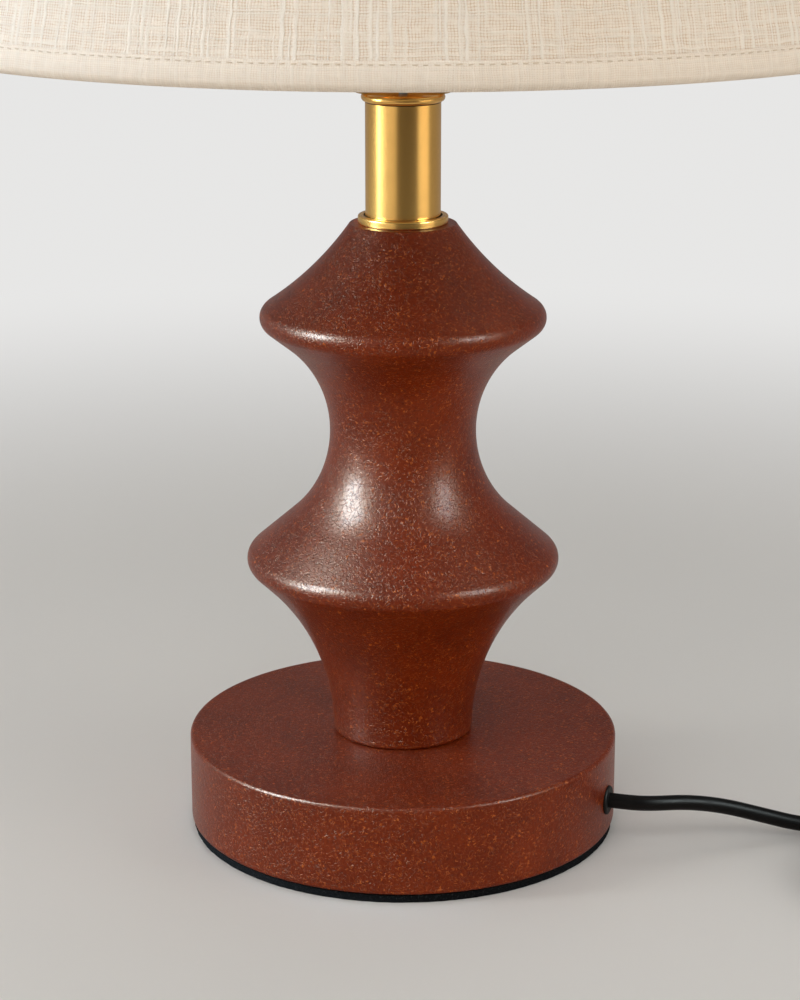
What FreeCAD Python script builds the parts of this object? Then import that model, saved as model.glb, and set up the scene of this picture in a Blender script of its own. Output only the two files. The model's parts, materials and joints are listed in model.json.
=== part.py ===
"""Table lamp: a turned body of lacquered wood fibre on a round weighted base, a brass neck with a
harp, a switched socket and a bulb, a linen shade that turns on the harp's stud, and a mains cord.
Millimetres, +Z up. The origin is under the middle of the felt pad."""
import FreeCAD
import Part
import math
import os

from FreeCAD import Vector

# Fits
running_gap = 0.3  # between curved faces of pieces that move against each other
shaft_gap = 0.05  # radial, a shaft or thread in its hole
rod_gap = 0.3  # radial, the threaded rod in what it clamps
glue_gap = 0.1  # round a piece that is glued in
seat_gap = 0.1  # under a turning piece that is screwed down on its seat
overcut = 1.0  # how far a cutting shape passes a face

# Base
base_radius = 90.0
base_height = 37.0
base_edge_round = 1.6
base_web = 9.5
base_wall = 24.0
felt_thickness = 3.5
felt_inset = 1.0
ballast_inset = 11.0
ballast_thickness = 8.0

# Turned column
foot_radius = 29.2
foot_round = 1.8
lower_flare_radius = 92.5
lower_lip_radius = 64.7
lower_lip_height = 75.9
waist_radius = 30.0
waist_height = 130.5
waist_lower_curve = 48.0
waist_upper_curve = 46.0
upper_lip_radius = 58.2
upper_lip_height = 177.7
lip_round = 5.6
shoulder_curve = 133.0
ledge_radius = 21.5
ledge_round = 0.8
column_height = 216.0

# Threaded rod and its nut
rod_radius = 5.0
rod_bore = 3.5
rod_below_nut = 1.5
rod_above_saddle = 8.0
nut_flats = 14.0
nut_height = 5.0
washer_radius = 15.0
washer_thickness = 1.6
lock_washer_radius = 8.5
lock_washer_thickness = 1.8
lock_washer_split = 1.5

# Brass neck
flange_radius = 18.2
flange_height = 3.3
flange_round = 0.6
tube_radius = 15.15
tube_wall = 1.0
tube_length = 46.2
tube_seat_depth = 0.8
tube_seat_gap = 0.7
cap_radius = 16.75
cap_height = 3.4
spigot_depth = 3.0

# Harp and its saddle
saddle_thickness = 1.6
saddle_width = 10.0
saddle_rise = 20.0
saddle_bend = 6.0
leg_offset = 28.6
stub_radius = 3.0
stub_length = 9.0
stub_split = 0.1
harp_wire = 1.95
harp_half_width = 52.0
harp_height = 251.0
harp_leg_spare = 7.7  # from the raised ferrule to the bend's corner
harp_shoulder_rise = 40.0
harp_bend = 20.0
harp_arch = 44.0
ferrule_radius = 4.5
ferrule_length = 13.0
ferrule_travel = 12.0
boss_radius = 7.0
boss_height = 4.4
stud_shank_radius = 2.6
stud_head_radius = 5.0
stud_head_height = 2.0
stud_flange_radius = 8.0
stud_flange_height = 2.0
stud_thread_radius = 3.15
stud_thread_length = 16.0
finial_radius = 8.0
finial_height = 29.0
finial_rim_radius = 9.0
finial_rim_height = 1.6
finial_neck_radius = 4.4
finial_neck_start = 5.0

# Socket and switch
socket_cap_radius = 18.6
socket_cap_height = 21.0
socket_cap_neck = 8.0
socket_cap_neck_height = 4.2
socket_cap_rim = 6.0
socket_cap_step = 1.0
socket_cap_taper = 2.5
socket_cap_taper_start = 12.6
socket_cap_wall = 0.8
shell_radius = 17.4
shell_wall = 0.5
shell_length = 47.5
shell_bead = 0.8
liner_wall = 0.5
insulator_height = 20.0
insulator_start = 16.0
insulator_flat = 12.5
screw_shell_radius = 13.5
screw_shell_wall = 0.4
screw_shell_height = 25.0
contact_radius = 3.5
contact_height = 2.5
contact_skirt = 1.5
contact_leaf = 0.8
switch_height = 29.5
switch_shaft_radius = 2.0
switch_shaft_start = 6.4
switch_reach = 32.0
knob_clearance = 2.5
knob_radius = 5.0
knob_hub = 6.0
knob_paddle_width = 13.0
knob_paddle_thickness = 4.0
knob_paddle_length = 11.0
knob_paddle_round = 3.9
terminal_head_radius = 3.4
terminal_head_height = 2.4
terminal_shank_radius = 1.5
terminal_shank_length = 5.0
set_screw_radius = 1.8
set_screw_length = 5.0

# Bulb
bulb_cap_height = 24.5
bulb_cap_wall = 0.6
bulb_shoulder_height = 6.0
bulb_shoulder_drop = 1.0
bulb_insulator_height = 2.0
bulb_neck_radius = 14.5
bulb_radius = 30.0
bulb_body_height = 52.0
bulb_waist_radius = 21.5
bulb_waist_height = 26.0
bulb_collar_height = 44.2
bulb_collar_inset = 1.5
bulb_wall = 1.4
board_radius = 24.0
board_thickness = 1.6
board_rest = 1.5

# Shade
shade_bottom_radius = 215.0
shade_top_radius = 150.0
shade_height = 240.0
shade_drop = 12.4
hem_height = 10.0
hem_cloth = 0.8
linen_thickness = 0.7
lining_thickness = 0.5
layer_gap = 0.3  # between the cloth, its lining and the wires
ring_wire = 1.2
arm_wire = 1.5
arm_flat_length = 22.0
arm_bend = 6.0
hub_radius = 14.0
hub_thickness = 1.6
hub_seat_radius = 11.0
arm_count = 3

# Mains cord, where it leaves the base, and its two wires
cord_radius = 3.2
cord_exit_angle = 71.0
cord_exit_height = 15.3
grommet_radius = 6.1
grommet_flange = 1.9
grommet_seat = 0.8
grommet_neck = 4.7
grommet_round = 0.85
grommet_lap = 0.5
stop_radius = 6.0
stop_length = 6.0
stop_gap = 1.0
inner_cord_length = 30.0
wire_radius = 1.2
wire_lead = 8.0
wire_turn_in = 14.0
wire_drop = 4.6
wire_bend = 3.6
wire_small_bend = 1.8

# Free cord: route from the grommet to the coil and from the coil to the plug
exit_run = 9.0
run_points = [
    (104.4, -32.6, 18.5),
    (118.5, -27.8, 17.2),
    (134.0, -24.6, 14.2),
    (150.0, -23.4, 9.6),
    (167.0, -23.8, 5.3),
    (184.0, -23.9, 4.3),
]
coil_run = 13.4
coil_centre = (217.0, -71.0)
coil_inner_radius = 26.6
coil_gap = 0.5
coil_turns_in = 3.0
coil_climb_in = 3.4
tie_thickness = 0.7
tie_width = 8.0
tie_round = 1.9
tail_points = [
    (250.5, -14.4, 9.7),
    (261.0, -3.6, 7.0),
    (266.2, 10.0, 4.6),
    (266.8, 24.0, 4.9),
    (266.0, 35.0, 7.6),
    (265.3, 43.0, 7.6),
]
arc_share = 0.45

# Plug
plug_length = 24.0
plug_width = 25.0
plug_height = 15.2
plug_round = 2.6
plug_chamfer = 7.2
relief_length = 24.0
relief_start_radius = 6.2
relief_end_radius = 4.2
blade_length = 17.0
blade_width = 6.35
blade_thickness = 1.5
blade_spacing = 12.7
blade_hole_radius = 1.6
blade_hole_at = 11.9
blade_root = 6.0

# Levels and radii that follow from the sizes above
UP = Vector(0, 0, 1)
ORIGIN = Vector(0, 0, 0)
hollow_radius = base_radius - base_wall
ballast_radius = hollow_radius - ballast_inset
base_bottom = felt_thickness
base_top = base_bottom + base_height
web_bottom = base_top - base_web
ballast_bottom = web_bottom - ballast_thickness
washer_bottom = ballast_bottom - washer_thickness
lock_bottom = washer_bottom - lock_washer_thickness
nut_bottom = lock_bottom - nut_height
rod_bottom = nut_bottom - rod_below_nut
ledge_z = base_top + column_height
flange_top = ledge_z + flange_height
tube_bottom = flange_top - tube_seat_depth
tube_top = tube_bottom + tube_length
cap_top = tube_top + cap_height
saddle_top = cap_top + saddle_thickness
rod_top = saddle_top + rod_above_saddle
clamp_bore = rod_radius + rod_gap
saddle_tip = cap_top + saddle_rise
harp_top = cap_top + harp_height
boss_bottom = harp_top - boss_height / 2
boss_top = harp_top + boss_height / 2
stud_flange_bottom = boss_top + running_gap
hub_bottom = stud_flange_bottom + stud_flange_height
hub_top = hub_bottom + hub_thickness
socket_cap_top = saddle_top + socket_cap_height
shell_bottom = socket_cap_top - socket_cap_rim
shell_top = shell_bottom + shell_length
insulator_bottom = saddle_top + insulator_start
insulator_top = insulator_bottom + insulator_height
liner_radius = shell_radius - shell_wall - glue_gap
liner_bore = liner_radius - liner_wall
insulator_radius = liner_bore - running_gap
switch_z = saddle_top + switch_height
screw_shell_top = insulator_top + screw_shell_height
bulb_tip = insulator_top + contact_height + seat_gap
bulb_cap_radius = screw_shell_radius - screw_shell_wall - running_gap
bulb_body_bottom = bulb_tip + bulb_cap_height
bulb_body_top = bulb_body_bottom + bulb_body_height
shade_top = hub_bottom + shade_drop
shade_bottom = shade_top - shade_height
cord_z = base_bottom + cord_exit_height
exit_way = Vector(
    math.sin(math.radians(cord_exit_angle)), -math.cos(math.radians(cord_exit_angle)), 0
)
grommet_face = base_radius - grommet_seat + grommet_flange
coil_pitch = 2 * cord_radius + coil_gap
coil_low = cord_radius + tie_thickness + 2 * glue_gap

parts = {}


def segment(a, b):
    return Part.LineSegment(a, b).toShape()


def arc(a, middle, b):
    return Part.Arc(a, middle, b).toShape()


def at(radius, z):
    """A point of a turned outline, in the plane of X and Z."""
    return Vector(radius, 0, z)


def turned(outline):
    """A solid turned about Z from a closed outline of (radius, z) corners."""
    corners = [at(*c) for c in outline]
    face = Part.Face(Part.makePolygon(corners + corners[:1]))
    return face.revolve(ORIGIN, UP, 360)


def turned_edges(edges):
    """A solid turned about Z from edges that close on themselves."""
    face = Part.Face(Part.Wire(edges))
    return face.revolve(ORIGIN, UP, 360)


def ring(outer, inner, low, high):
    """A washer, tube or plate about Z."""
    return turned([(inner, low), (outer, low), (outer, high), (inner, high)])


def post(radius, start, direction, length):
    return Part.makeCylinder(radius, length, start, direction)


def block(size, middle):
    """A box of a given size about its middle."""
    corner = middle - Vector(*size) * 0.5
    return Part.makeBox(*size, corner)


def rounded_rims(shape, radius, levels, rounding):
    """Round the circular edges of one radius about Z at the given levels."""
    rims = [
        e
        for e in shape.Edges
        if isinstance(e.Curve, Part.Circle)
        and abs(e.Curve.Radius - radius) < 1e-6
        and abs(e.Curve.Center.x) + abs(e.Curve.Center.y) < 1e-6
        and any(abs(e.Curve.Center.z - z) < 1e-6 for z in levels)
    ]
    return shape.makeFillet(rounding, rims)


def polar(centre, radius, angle):
    """A point of the outline's plane, at an angle from the radius direction."""
    return centre + Vector(math.cos(angle), 0, math.sin(angle)) * radius


def angle_of(vector):
    return math.atan2(vector.z, vector.x)


def bow(centre, radius, start, end):
    """An arc in the outline's plane between two angles."""
    return arc(
        polar(centre, radius, start),
        polar(centre, radius, (start + end) / 2),
        polar(centre, radius, end),
    )


def hollow_to_lip(neck, hollow, lip, rounding):
    """The outline from an upright neck through a hollow curve and a straight to a lip's edge."""
    hollow_centre = neck + Vector(hollow, 0, 0)
    lip_centre = lip - Vector(rounding, 0, 0)
    across = lip_centre - hollow_centre
    lean = math.acos(min(1.0, (hollow + rounding) / across.Length))
    rising = lip.z > neck.z
    away = angle_of(across) + (lean if rising else -lean)
    if not rising:
        away += 2 * math.pi
    leaves = polar(hollow_centre, hollow, away)
    meets = polar(lip_centre, rounding, away + math.pi)
    back = away + math.pi if not rising else away - math.pi
    if not rising:
        back -= 2 * math.pi
    edges = [bow(hollow_centre, hollow, math.pi, away)]
    if (meets - leaves).Length > 1e-3:
        edges.append(segment(leaves, meets))
    edges.append(bow(lip_centre, rounding, back, 0))
    return edges


def lip_to_ledge(lip, rounding, curve, ledge):
    """The outline from a lip's edge over its round and up a slightly hollow slope to the ledge."""
    lip_centre = lip - Vector(rounding, 0, 0)
    across = lip_centre - ledge
    reach = (curve**2 - (curve + rounding) ** 2 + across.Length**2) / (
        2 * across.Length
    )
    side = math.sqrt(curve**2 - reach**2)
    unit = across.normalize()
    square = Vector(-unit.z, 0, unit.x)
    centre = ledge + unit * reach + square * side
    meets = angle_of(centre - lip_centre)
    start = angle_of(lip_centre - centre) % (2 * math.pi)
    end = angle_of(ledge - centre) % (2 * math.pi)
    return [bow(lip_centre, rounding, 0, meets), bow(centre, curve, start, end)]


def bent_path(points, radii):
    """Edges of straight runs joined by tangent arcs of the given radii."""
    edges = []
    here = points[0]
    for i, radius in enumerate(radii):
        corner = points[i + 1]
        come = (corner - points[i]).normalize()
        go = (points[i + 2] - corner).normalize()
        half = come.getAngle(go) / 2
        setback = radius * math.tan(half)
        start = corner - come * setback
        end = corner + go * setback
        inward = (go - come).normalize()
        middle = corner + inward * radius * (1 / math.cos(half) - 1)
        if (start - here).Length > 1e-6:
            edges.append(segment(here, start))
        edges.append(arc(start, middle, end))
        here = end
    edges.append(segment(here, points[-1]))
    return edges


def cord_path(points, name):
    """A cord's runs joined by arcs as large as the runs allow, with their radii printed."""
    radii = []
    for before, corner, after in zip(points, points[1:], points[2:]):
        half = (corner - before).getAngle(after - corner) / 2
        shorter = min((corner - before).Length, (after - corner).Length)
        radii.append(arc_share * shorter / math.tan(half))
    print(name, "arc radii in diameters", [round(r / 2 / cord_radius, 1) for r in radii])
    return bent_path(points, radii)


def tube(edges, radius, name=None):
    """A round tube along edges that follow each other."""
    path = Part.Wire(edges)
    start = edges[0].valueAt(edges[0].FirstParameter)
    direction = edges[0].tangentAt(edges[0].FirstParameter)
    section = Part.Wire(Part.makeCircle(radius, start, direction))
    solid = path.makePipeShell([section], True, False)
    if name:
        expected = math.pi * radius**2 * path.Length
        print(
            name,
            "length %.1f mm" % path.Length,
            "volume over section times length %.4f" % (solid.Volume / expected),
        )
    return solid


def smooth_arc(start, tangent, end):
    """The arc that leaves start along a unit tangent and ends at end."""
    chord = end - start
    along = chord * (1 / chord.Length)
    turn = tangent.getAngle(chord)
    outward = (tangent - along * tangent.dot(along)).normalize()
    middle = (start + end) * 0.5 + outward * (
        chord.Length / 2 * math.tan(turn / 2)
    )
    return arc(start, middle, end)


def make_base():
    """The base disc, hollow below, with the hole for the rod and the cord's way out."""
    disc = turned(
        [
            (clamp_bore, base_top),
            (clamp_bore, web_bottom),
            (hollow_radius, web_bottom),
            (hollow_radius, base_bottom),
            (base_radius, base_bottom),
            (base_radius, base_top),
        ]
    )
    disc = rounded_rims(disc, base_radius, [base_bottom, base_top], base_edge_round)
    level = Vector(0, 0, cord_z)
    wall = base_radius - hollow_radius
    hole = post(
        grommet_neck + glue_gap,
        level + exit_way * (hollow_radius - wall / 2),
        exit_way,
        2 * wall,
    )
    seat = post(
        grommet_radius + glue_gap,
        level + exit_way * (base_radius - grommet_seat),
        exit_way,
        wall,
    )
    parts["base_disc"] = disc.cut(hole).cut(seat)
    parts["felt_pad"] = ring(base_radius - felt_inset, 0.0, 0.0, felt_thickness)
    parts["ballast_plate"] = ring(
        ballast_radius, clamp_bore, ballast_bottom, web_bottom
    )


def make_column():
    """The turned column: foot, flare, lower lip, waist, upper lip, shoulder and ledge."""
    foot = at(foot_radius, base_top)
    lower_lip = at(lower_lip_radius, base_top + lower_lip_height)
    waist = at(waist_radius, base_top + waist_height)
    upper_lip = at(upper_lip_radius, base_top + upper_lip_height)
    ledge = at(ledge_radius, ledge_z)
    edges = hollow_to_lip(foot, lower_flare_radius, lower_lip, lip_round)
    edges += hollow_to_lip(waist, waist_lower_curve, lower_lip, lip_round)
    edges += hollow_to_lip(waist, waist_upper_curve, upper_lip, lip_round)
    edges += lip_to_ledge(upper_lip, lip_round, shoulder_curve, ledge)
    top = at(clamp_bore, ledge_z)
    bottom = at(clamp_bore, base_top)
    edges += [segment(ledge, top), segment(top, bottom), segment(bottom, foot)]
    face = Part.Face(Part.Wire(Part.__sortEdges__(edges)))
    column = face.revolve(ORIGIN, UP, 360)
    column = rounded_rims(column, ledge_radius, [ledge_z], ledge_round)
    parts["column"] = rounded_rims(column, foot_radius, [base_top], foot_round)


def make_rod():
    """The hollow threaded rod through the lamp, with the nut and washers that clamp it below."""
    parts["threaded_rod"] = ring(rod_radius, rod_bore, rod_bottom, rod_top)
    parts["base_washer"] = ring(
        washer_radius, clamp_bore, washer_bottom, ballast_bottom
    )
    spring = ring(lock_washer_radius, clamp_bore, lock_bottom, washer_bottom)
    split = block(
        (lock_washer_radius * 2, lock_washer_split, lock_washer_thickness * 2),
        Vector(lock_washer_radius, 0, lock_bottom + lock_washer_thickness / 2),
    )
    parts["lock_washer"] = spring.cut(split)
    across_corners = nut_flats / math.cos(math.pi / 6)
    hexagon = [
        Vector(
            across_corners / 2 * math.cos(k * math.pi / 3),
            across_corners / 2 * math.sin(k * math.pi / 3),
            nut_bottom,
        )
        for k in range(7)
    ]
    nut = Part.Face(Part.makePolygon(hexagon)).extrude(UP * nut_height)
    below = Vector(0, 0, nut_bottom - overcut)
    bore = post(rod_radius + shaft_gap, below, UP, nut_height + 2 * overcut)
    parts["base_nut"] = nut.cut(bore)


def make_neck():
    """The brass flange, tube and half round cap between column and saddle."""
    flange = turned(
        [
            (clamp_bore, ledge_z),
            (flange_radius, ledge_z),
            (flange_radius, flange_top),
            (tube_radius + tube_seat_gap, flange_top),
            (tube_radius + tube_seat_gap, tube_bottom),
            (tube_radius - tube_wall - glue_gap, tube_bottom),
            (tube_radius - tube_wall - glue_gap, tube_bottom + spigot_depth),
            (clamp_bore, tube_bottom + spigot_depth),
        ]
    )
    parts["neck_flange"] = rounded_rims(
        flange, flange_radius, [ledge_z, flange_top], flange_round
    )
    parts["neck_tube"] = ring(
        tube_radius, tube_radius - tube_wall, tube_bottom, tube_top
    )
    bead = cap_height / 2
    spigot = tube_radius - tube_wall - glue_gap
    corners = [
        at(cap_radius - bead, cap_top),
        at(clamp_bore, cap_top),
        at(clamp_bore, tube_top - spigot_depth),
        at(spigot, tube_top - spigot_depth),
        at(spigot, tube_top),
        at(cap_radius - bead, tube_top),
    ]
    edges = [segment(a, b) for a, b in zip(corners, corners[1:])]
    edges.append(arc(corners[-1], at(cap_radius, tube_top + bead), corners[0]))
    parts["neck_cap"] = turned_edges(edges)


def half_post(x, side, low, length):
    """Half of a round stub beside a leg of the harp; side is outward (1) or inward (-1)."""
    sign = math.copysign(1, x)
    whole = post(stub_radius, Vector(x, 0, low), UP, length)
    width = 2 * stub_radius
    shift = (width / 2 + stub_split / 2) * side * sign
    half = block((width, 2 * width, 3 * length), Vector(x + shift, 0, low))
    return whole.common(half)


def make_harp():
    """The saddle under the socket, the wire harp, its two ferrules and the stud at its top."""
    middle = cap_top + saddle_thickness / 2
    arm = leg_offset + stub_radius / 2
    flat = arm - 2 * saddle_bend
    knee = saddle_tip - saddle_rise / 2
    points = [
        Vector(-arm, 0, saddle_tip),
        Vector(-arm, 0, knee),
        Vector(-flat, 0, middle),
        Vector(flat, 0, middle),
        Vector(arm, 0, knee),
        Vector(arm, 0, saddle_tip),
    ]
    path = Part.Wire(bent_path(points, [saddle_bend] * 4))
    half_t = saddle_thickness / 2
    half_w = saddle_width / 2
    corners = [
        Vector(-arm - half_t, -half_w, saddle_tip),
        Vector(-arm + half_t, -half_w, saddle_tip),
        Vector(-arm + half_t, half_w, saddle_tip),
        Vector(-arm - half_t, half_w, saddle_tip),
    ]
    section = Part.makePolygon(corners + corners[:1])
    saddle = path.makePipeShell([section], True, False)
    below = Vector(0, 0, cap_top - overcut)
    saddle = saddle.cut(post(clamp_bore, below, UP, saddle_thickness + 2 * overcut))
    for x in (-leg_offset, leg_offset):
        saddle = saddle.fuse(
            half_post(x, 1, saddle_tip - saddle_thickness, stub_length + saddle_thickness)
        )
    parts["harp_saddle"] = saddle.removeSplitter()

    leg_bottom = saddle_tip + running_gap
    leg_bend = leg_bottom + ferrule_length + ferrule_travel + harp_leg_spare
    shoulder = leg_bend + harp_shoulder_rise
    points = [
        Vector(-leg_offset, 0, leg_bottom + stub_length),
        Vector(-leg_offset, 0, leg_bend),
        Vector(-harp_half_width, 0, shoulder),
        Vector(-harp_half_width, 0, harp_top),
        Vector(harp_half_width, 0, harp_top),
        Vector(harp_half_width, 0, shoulder),
        Vector(leg_offset, 0, leg_bend),
        Vector(leg_offset, 0, leg_bottom + stub_length),
    ]
    bends = [harp_bend, harp_bend, harp_arch, harp_arch, harp_bend, harp_bend]
    harp = tube(bent_path(points, bends), harp_wire)
    harp = harp.fuse(post(boss_radius, Vector(0, 0, boss_bottom), UP, boss_height))
    for x in (-leg_offset, leg_offset):
        harp = harp.fuse(half_post(x, -1, leg_bottom, stub_length + stub_radius))
    below = Vector(0, 0, boss_bottom - overcut)
    hole = post(stud_shank_radius + shaft_gap, below, UP, boss_height + 2 * overcut)
    parts["harp"] = harp.cut(hole).removeSplitter()

    for name, x in (("harp_ferrule_left", -leg_offset), ("harp_ferrule_right", leg_offset)):
        foot = Vector(x, 0, leg_bottom)
        sleeve = post(ferrule_radius, foot, UP, ferrule_length)
        below = foot - UP * overcut
        bore = post(stub_radius + running_gap, below, UP, ferrule_length + 2 * overcut)
        parts[name] = sleeve.cut(bore)

    head_top = boss_bottom - running_gap
    parts["harp_stud"] = turned(
        [
            (0, head_top - stud_head_height),
            (stud_head_radius, head_top - stud_head_height),
            (stud_head_radius, head_top),
            (stud_shank_radius, head_top),
            (stud_shank_radius, stud_flange_bottom),
            (stud_flange_radius, stud_flange_bottom),
            (stud_flange_radius, hub_bottom),
            (stud_thread_radius, hub_bottom),
            (stud_thread_radius, hub_bottom + stud_thread_length),
            (0, hub_bottom + stud_thread_length),
        ]
    )


def make_finial():
    """The ball finial that clamps the shade's hub on the stud."""
    bottom = hub_top + seat_gap
    top = bottom + finial_height
    ball = finial_radius
    ball_z = top - ball
    neck = finial_neck_radius
    joint = ball_z - math.sqrt(ball**2 - neck**2)
    bore = stud_thread_radius + shaft_gap
    bore_top = hub_bottom + stud_thread_length + running_gap
    rim = finial_rim_radius
    corners = [
        at(0, top),
        at(0, bore_top),
        at(bore, bore_top),
        at(bore, bottom),
        at(rim, bottom),
        at(rim, bottom + finial_rim_height),
        at(neck, bottom + finial_neck_start),
        at(neck, joint),
    ]
    edges = [segment(a, b) for a, b in zip(corners, corners[1:])]
    edges.append(arc(corners[-1], at(ball, ball_z), corners[0]))
    parts["finial"] = turned_edges(edges)


def switch_slot(radius, low):
    """The slot from a shell's lower edge up to the switch shaft, towards -Y."""
    width = 2 * (switch_shaft_radius + running_gap)
    height = switch_z - low
    slot = block(
        (width, radius, height), Vector(0, -radius, low + height / 2)
    )
    return slot.fuse(
        post(width / 2, Vector(0, -radius / 2, switch_z), Vector(0, -1, 0), radius)
    )


def make_socket():
    """The socket: cap on the rod, shell, liner, insulating body, screw shell and contact."""
    wall = socket_cap_wall
    neck_top = saddle_top + socket_cap_neck_height
    rim_low = shell_bottom - socket_cap_step
    taper = socket_cap_radius - socket_cap_taper
    slope = socket_cap_taper_start
    cap = turned(
        [
            (rod_radius + shaft_gap, saddle_top),
            (socket_cap_neck, saddle_top),
            (socket_cap_neck, neck_top),
            (taper, saddle_top + slope),
            (socket_cap_radius, rim_low),
            (socket_cap_radius, socket_cap_top),
            (socket_cap_radius - wall, socket_cap_top),
            (socket_cap_radius - wall, rim_low + wall),
            (taper - wall, saddle_top + slope + wall),
            (socket_cap_neck - wall, neck_top + wall),
            (rod_radius + shaft_gap, neck_top + wall),
        ]
    )
    screw_z = saddle_top + socket_cap_neck_height / 2
    screw_hole = post(
        set_screw_radius + shaft_gap, Vector(0, 0, screw_z), Vector(0, 1, 0), socket_cap_radius
    )
    parts["socket_cap"] = cap.cut(screw_hole)
    parts["set_screw"] = post(
        set_screw_radius,
        Vector(0, rod_radius + running_gap, screw_z),
        Vector(0, 1, 0),
        set_screw_length,
    )

    bead = shell_radius + shell_bead
    shell = turned(
        [
            (shell_radius - shell_wall, shell_bottom),
            (shell_radius, shell_bottom),
            (shell_radius, shell_top - 3 * shell_bead),
            (bead, shell_top - 2 * shell_bead),
            (bead, shell_top - shell_bead),
            (shell_radius, shell_top),
            (shell_radius - shell_wall, shell_top),
        ]
    )
    parts["socket_shell"] = shell.cut(switch_slot(shell_radius, shell_bottom))
    liner = ring(liner_radius, liner_bore, shell_bottom, shell_top - shell_bead)
    parts["socket_liner"] = liner.cut(switch_slot(shell_radius, shell_bottom))

    body = ring(insulator_radius, 0.0, insulator_bottom, insulator_top)
    for side in (-1, 1):
        body = body.cut(
            block(
                (insulator_radius, 4 * insulator_radius, 4 * insulator_height),
                Vector(side * (insulator_flat + insulator_radius / 2), 0, insulator_bottom),
            )
        )
    shaft_hole = post(
        switch_shaft_radius + shaft_gap,
        Vector(0, 0, switch_z),
        Vector(0, -1, 0),
        2 * insulator_radius,
    )
    parts["socket_body"] = body.cut(shaft_hole)

    screw = ring(
        screw_shell_radius,
        screw_shell_radius - screw_shell_wall,
        insulator_top,
        screw_shell_top,
    )
    parts["screw_shell"] = screw
    parts["centre_contact"] = turned(
        [
            (0, insulator_top),
            (contact_radius + contact_skirt, insulator_top),
            (contact_radius + contact_skirt, insulator_top + contact_leaf),
            (contact_radius, insulator_top + contact_height),
            (0, insulator_top + contact_height),
        ]
    )
    terminal_z = insulator_bottom + insulator_height / 2
    screws = []
    for side in (-1, 1):
        way = Vector(side, 0, 0)
        start = Vector(side * insulator_flat, 0, terminal_z)
        head = post(terminal_head_radius, start, way, terminal_head_height)
        shank = post(
            terminal_shank_radius,
            start - way * terminal_shank_length,
            way,
            terminal_shank_length,
        )
        hole = post(
            terminal_shank_radius + shaft_gap,
            start - way * (terminal_shank_length + shaft_gap),
            way,
            2 * terminal_shank_length,
        )
        screws.append(head.fuse(shank).removeSplitter())
        parts["socket_body"] = parts["socket_body"].cut(hole)
    parts["terminal_screws"] = Part.makeCompound(screws)


def make_switch():
    """The switch shaft and the paddle knob that turns it."""
    out = Vector(0, -1, 0)
    start = Vector(0, -switch_shaft_start, switch_z)
    parts["switch_shaft"] = post(
        switch_shaft_radius, start, out, switch_reach + start.y
    )
    knob_start = socket_cap_radius + knob_clearance
    hub = post(knob_radius, Vector(0, -knob_start, switch_z), out, knob_hub)
    paddle = block(
        (knob_paddle_width, knob_paddle_length, knob_paddle_thickness),
        Vector(0, -knob_start - knob_hub - knob_paddle_length / 2, switch_z),
    )
    corners = [e for e in paddle.Edges if abs(e.tangentAt(0).z) > 0.9]
    paddle = paddle.makeFillet(knob_paddle_round, corners)
    shaft = post(
        switch_shaft_radius + glue_gap,
        Vector(0, 0, switch_z),
        out,
        switch_reach + glue_gap,
    )
    parts["switch_knob"] = hub.fuse(paddle).removeSplitter().cut(shaft)


def make_bulb():
    """The bulb: screw cap, housing, board with its emitters and frosted globe."""
    wall = bulb_cap_wall
    shoulder = bulb_tip + bulb_shoulder_height
    slant = bulb_cap_radius - contact_skirt
    parts["bulb_cap"] = turned(
        [
            (0, bulb_tip),
            (contact_radius, bulb_tip),
            (contact_radius + contact_skirt, bulb_tip + bulb_insulator_height),
            (slant, shoulder - bulb_shoulder_drop),
            (bulb_cap_radius, shoulder),
            (bulb_cap_radius, bulb_body_bottom),
            (bulb_cap_radius - wall, bulb_body_bottom),
            (bulb_cap_radius - wall, shoulder + wall),
            (0, shoulder + wall),
        ]
    )
    low = bulb_body_bottom
    inner = bulb_wall
    waist = bulb_waist_radius
    waist_z = low + bulb_waist_height
    collar = bulb_radius - bulb_collar_inset
    board_low = low + bulb_collar_height
    rest = board_radius - board_rest
    parts["bulb_body"] = turned(
        [
            (0, low),
            (bulb_neck_radius, low),
            (waist, waist_z),
            (collar, board_low),
            (bulb_radius, bulb_body_top),
            (bulb_radius - inner, bulb_body_top),
            (collar - inner, board_low),
            (rest, board_low),
            (rest, board_low - inner),
            (bulb_radius - 3 * inner, board_low - inner),
            (waist - inner, waist_z),
            (bulb_neck_radius - inner, low + inner),
            (0, low + inner),
        ]
    )
    parts["led_board"] = ring(
        board_radius, 0.0, board_low, board_low + board_thickness
    )
    centre = Vector(0, 0, bulb_body_top)
    dome = bulb_radius
    inner_dome = dome - bulb_wall
    quarter = math.pi / 2
    edges = [
        bow(centre, dome, 0, quarter),
        segment(polar(centre, dome, quarter), polar(centre, inner_dome, quarter)),
        bow(centre, inner_dome, quarter, 0),
        segment(polar(centre, inner_dome, 0), polar(centre, dome, 0)),
    ]
    parts["bulb_globe"] = turned_edges(edges)


def cone(z):
    """The outer radius of the shade at a height."""
    share = (z - shade_bottom) / shade_height
    return shade_bottom_radius + share * (shade_top_radius - shade_bottom_radius)


def layer(outer, inner, low, high):
    """A conical layer of the shade between two depths below its outer face."""
    return turned(
        [
            (cone(low) - inner, low),
            (cone(low) - outer, low),
            (cone(high) - outer, high),
            (cone(high) - inner, high),
        ]
    )


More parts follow.
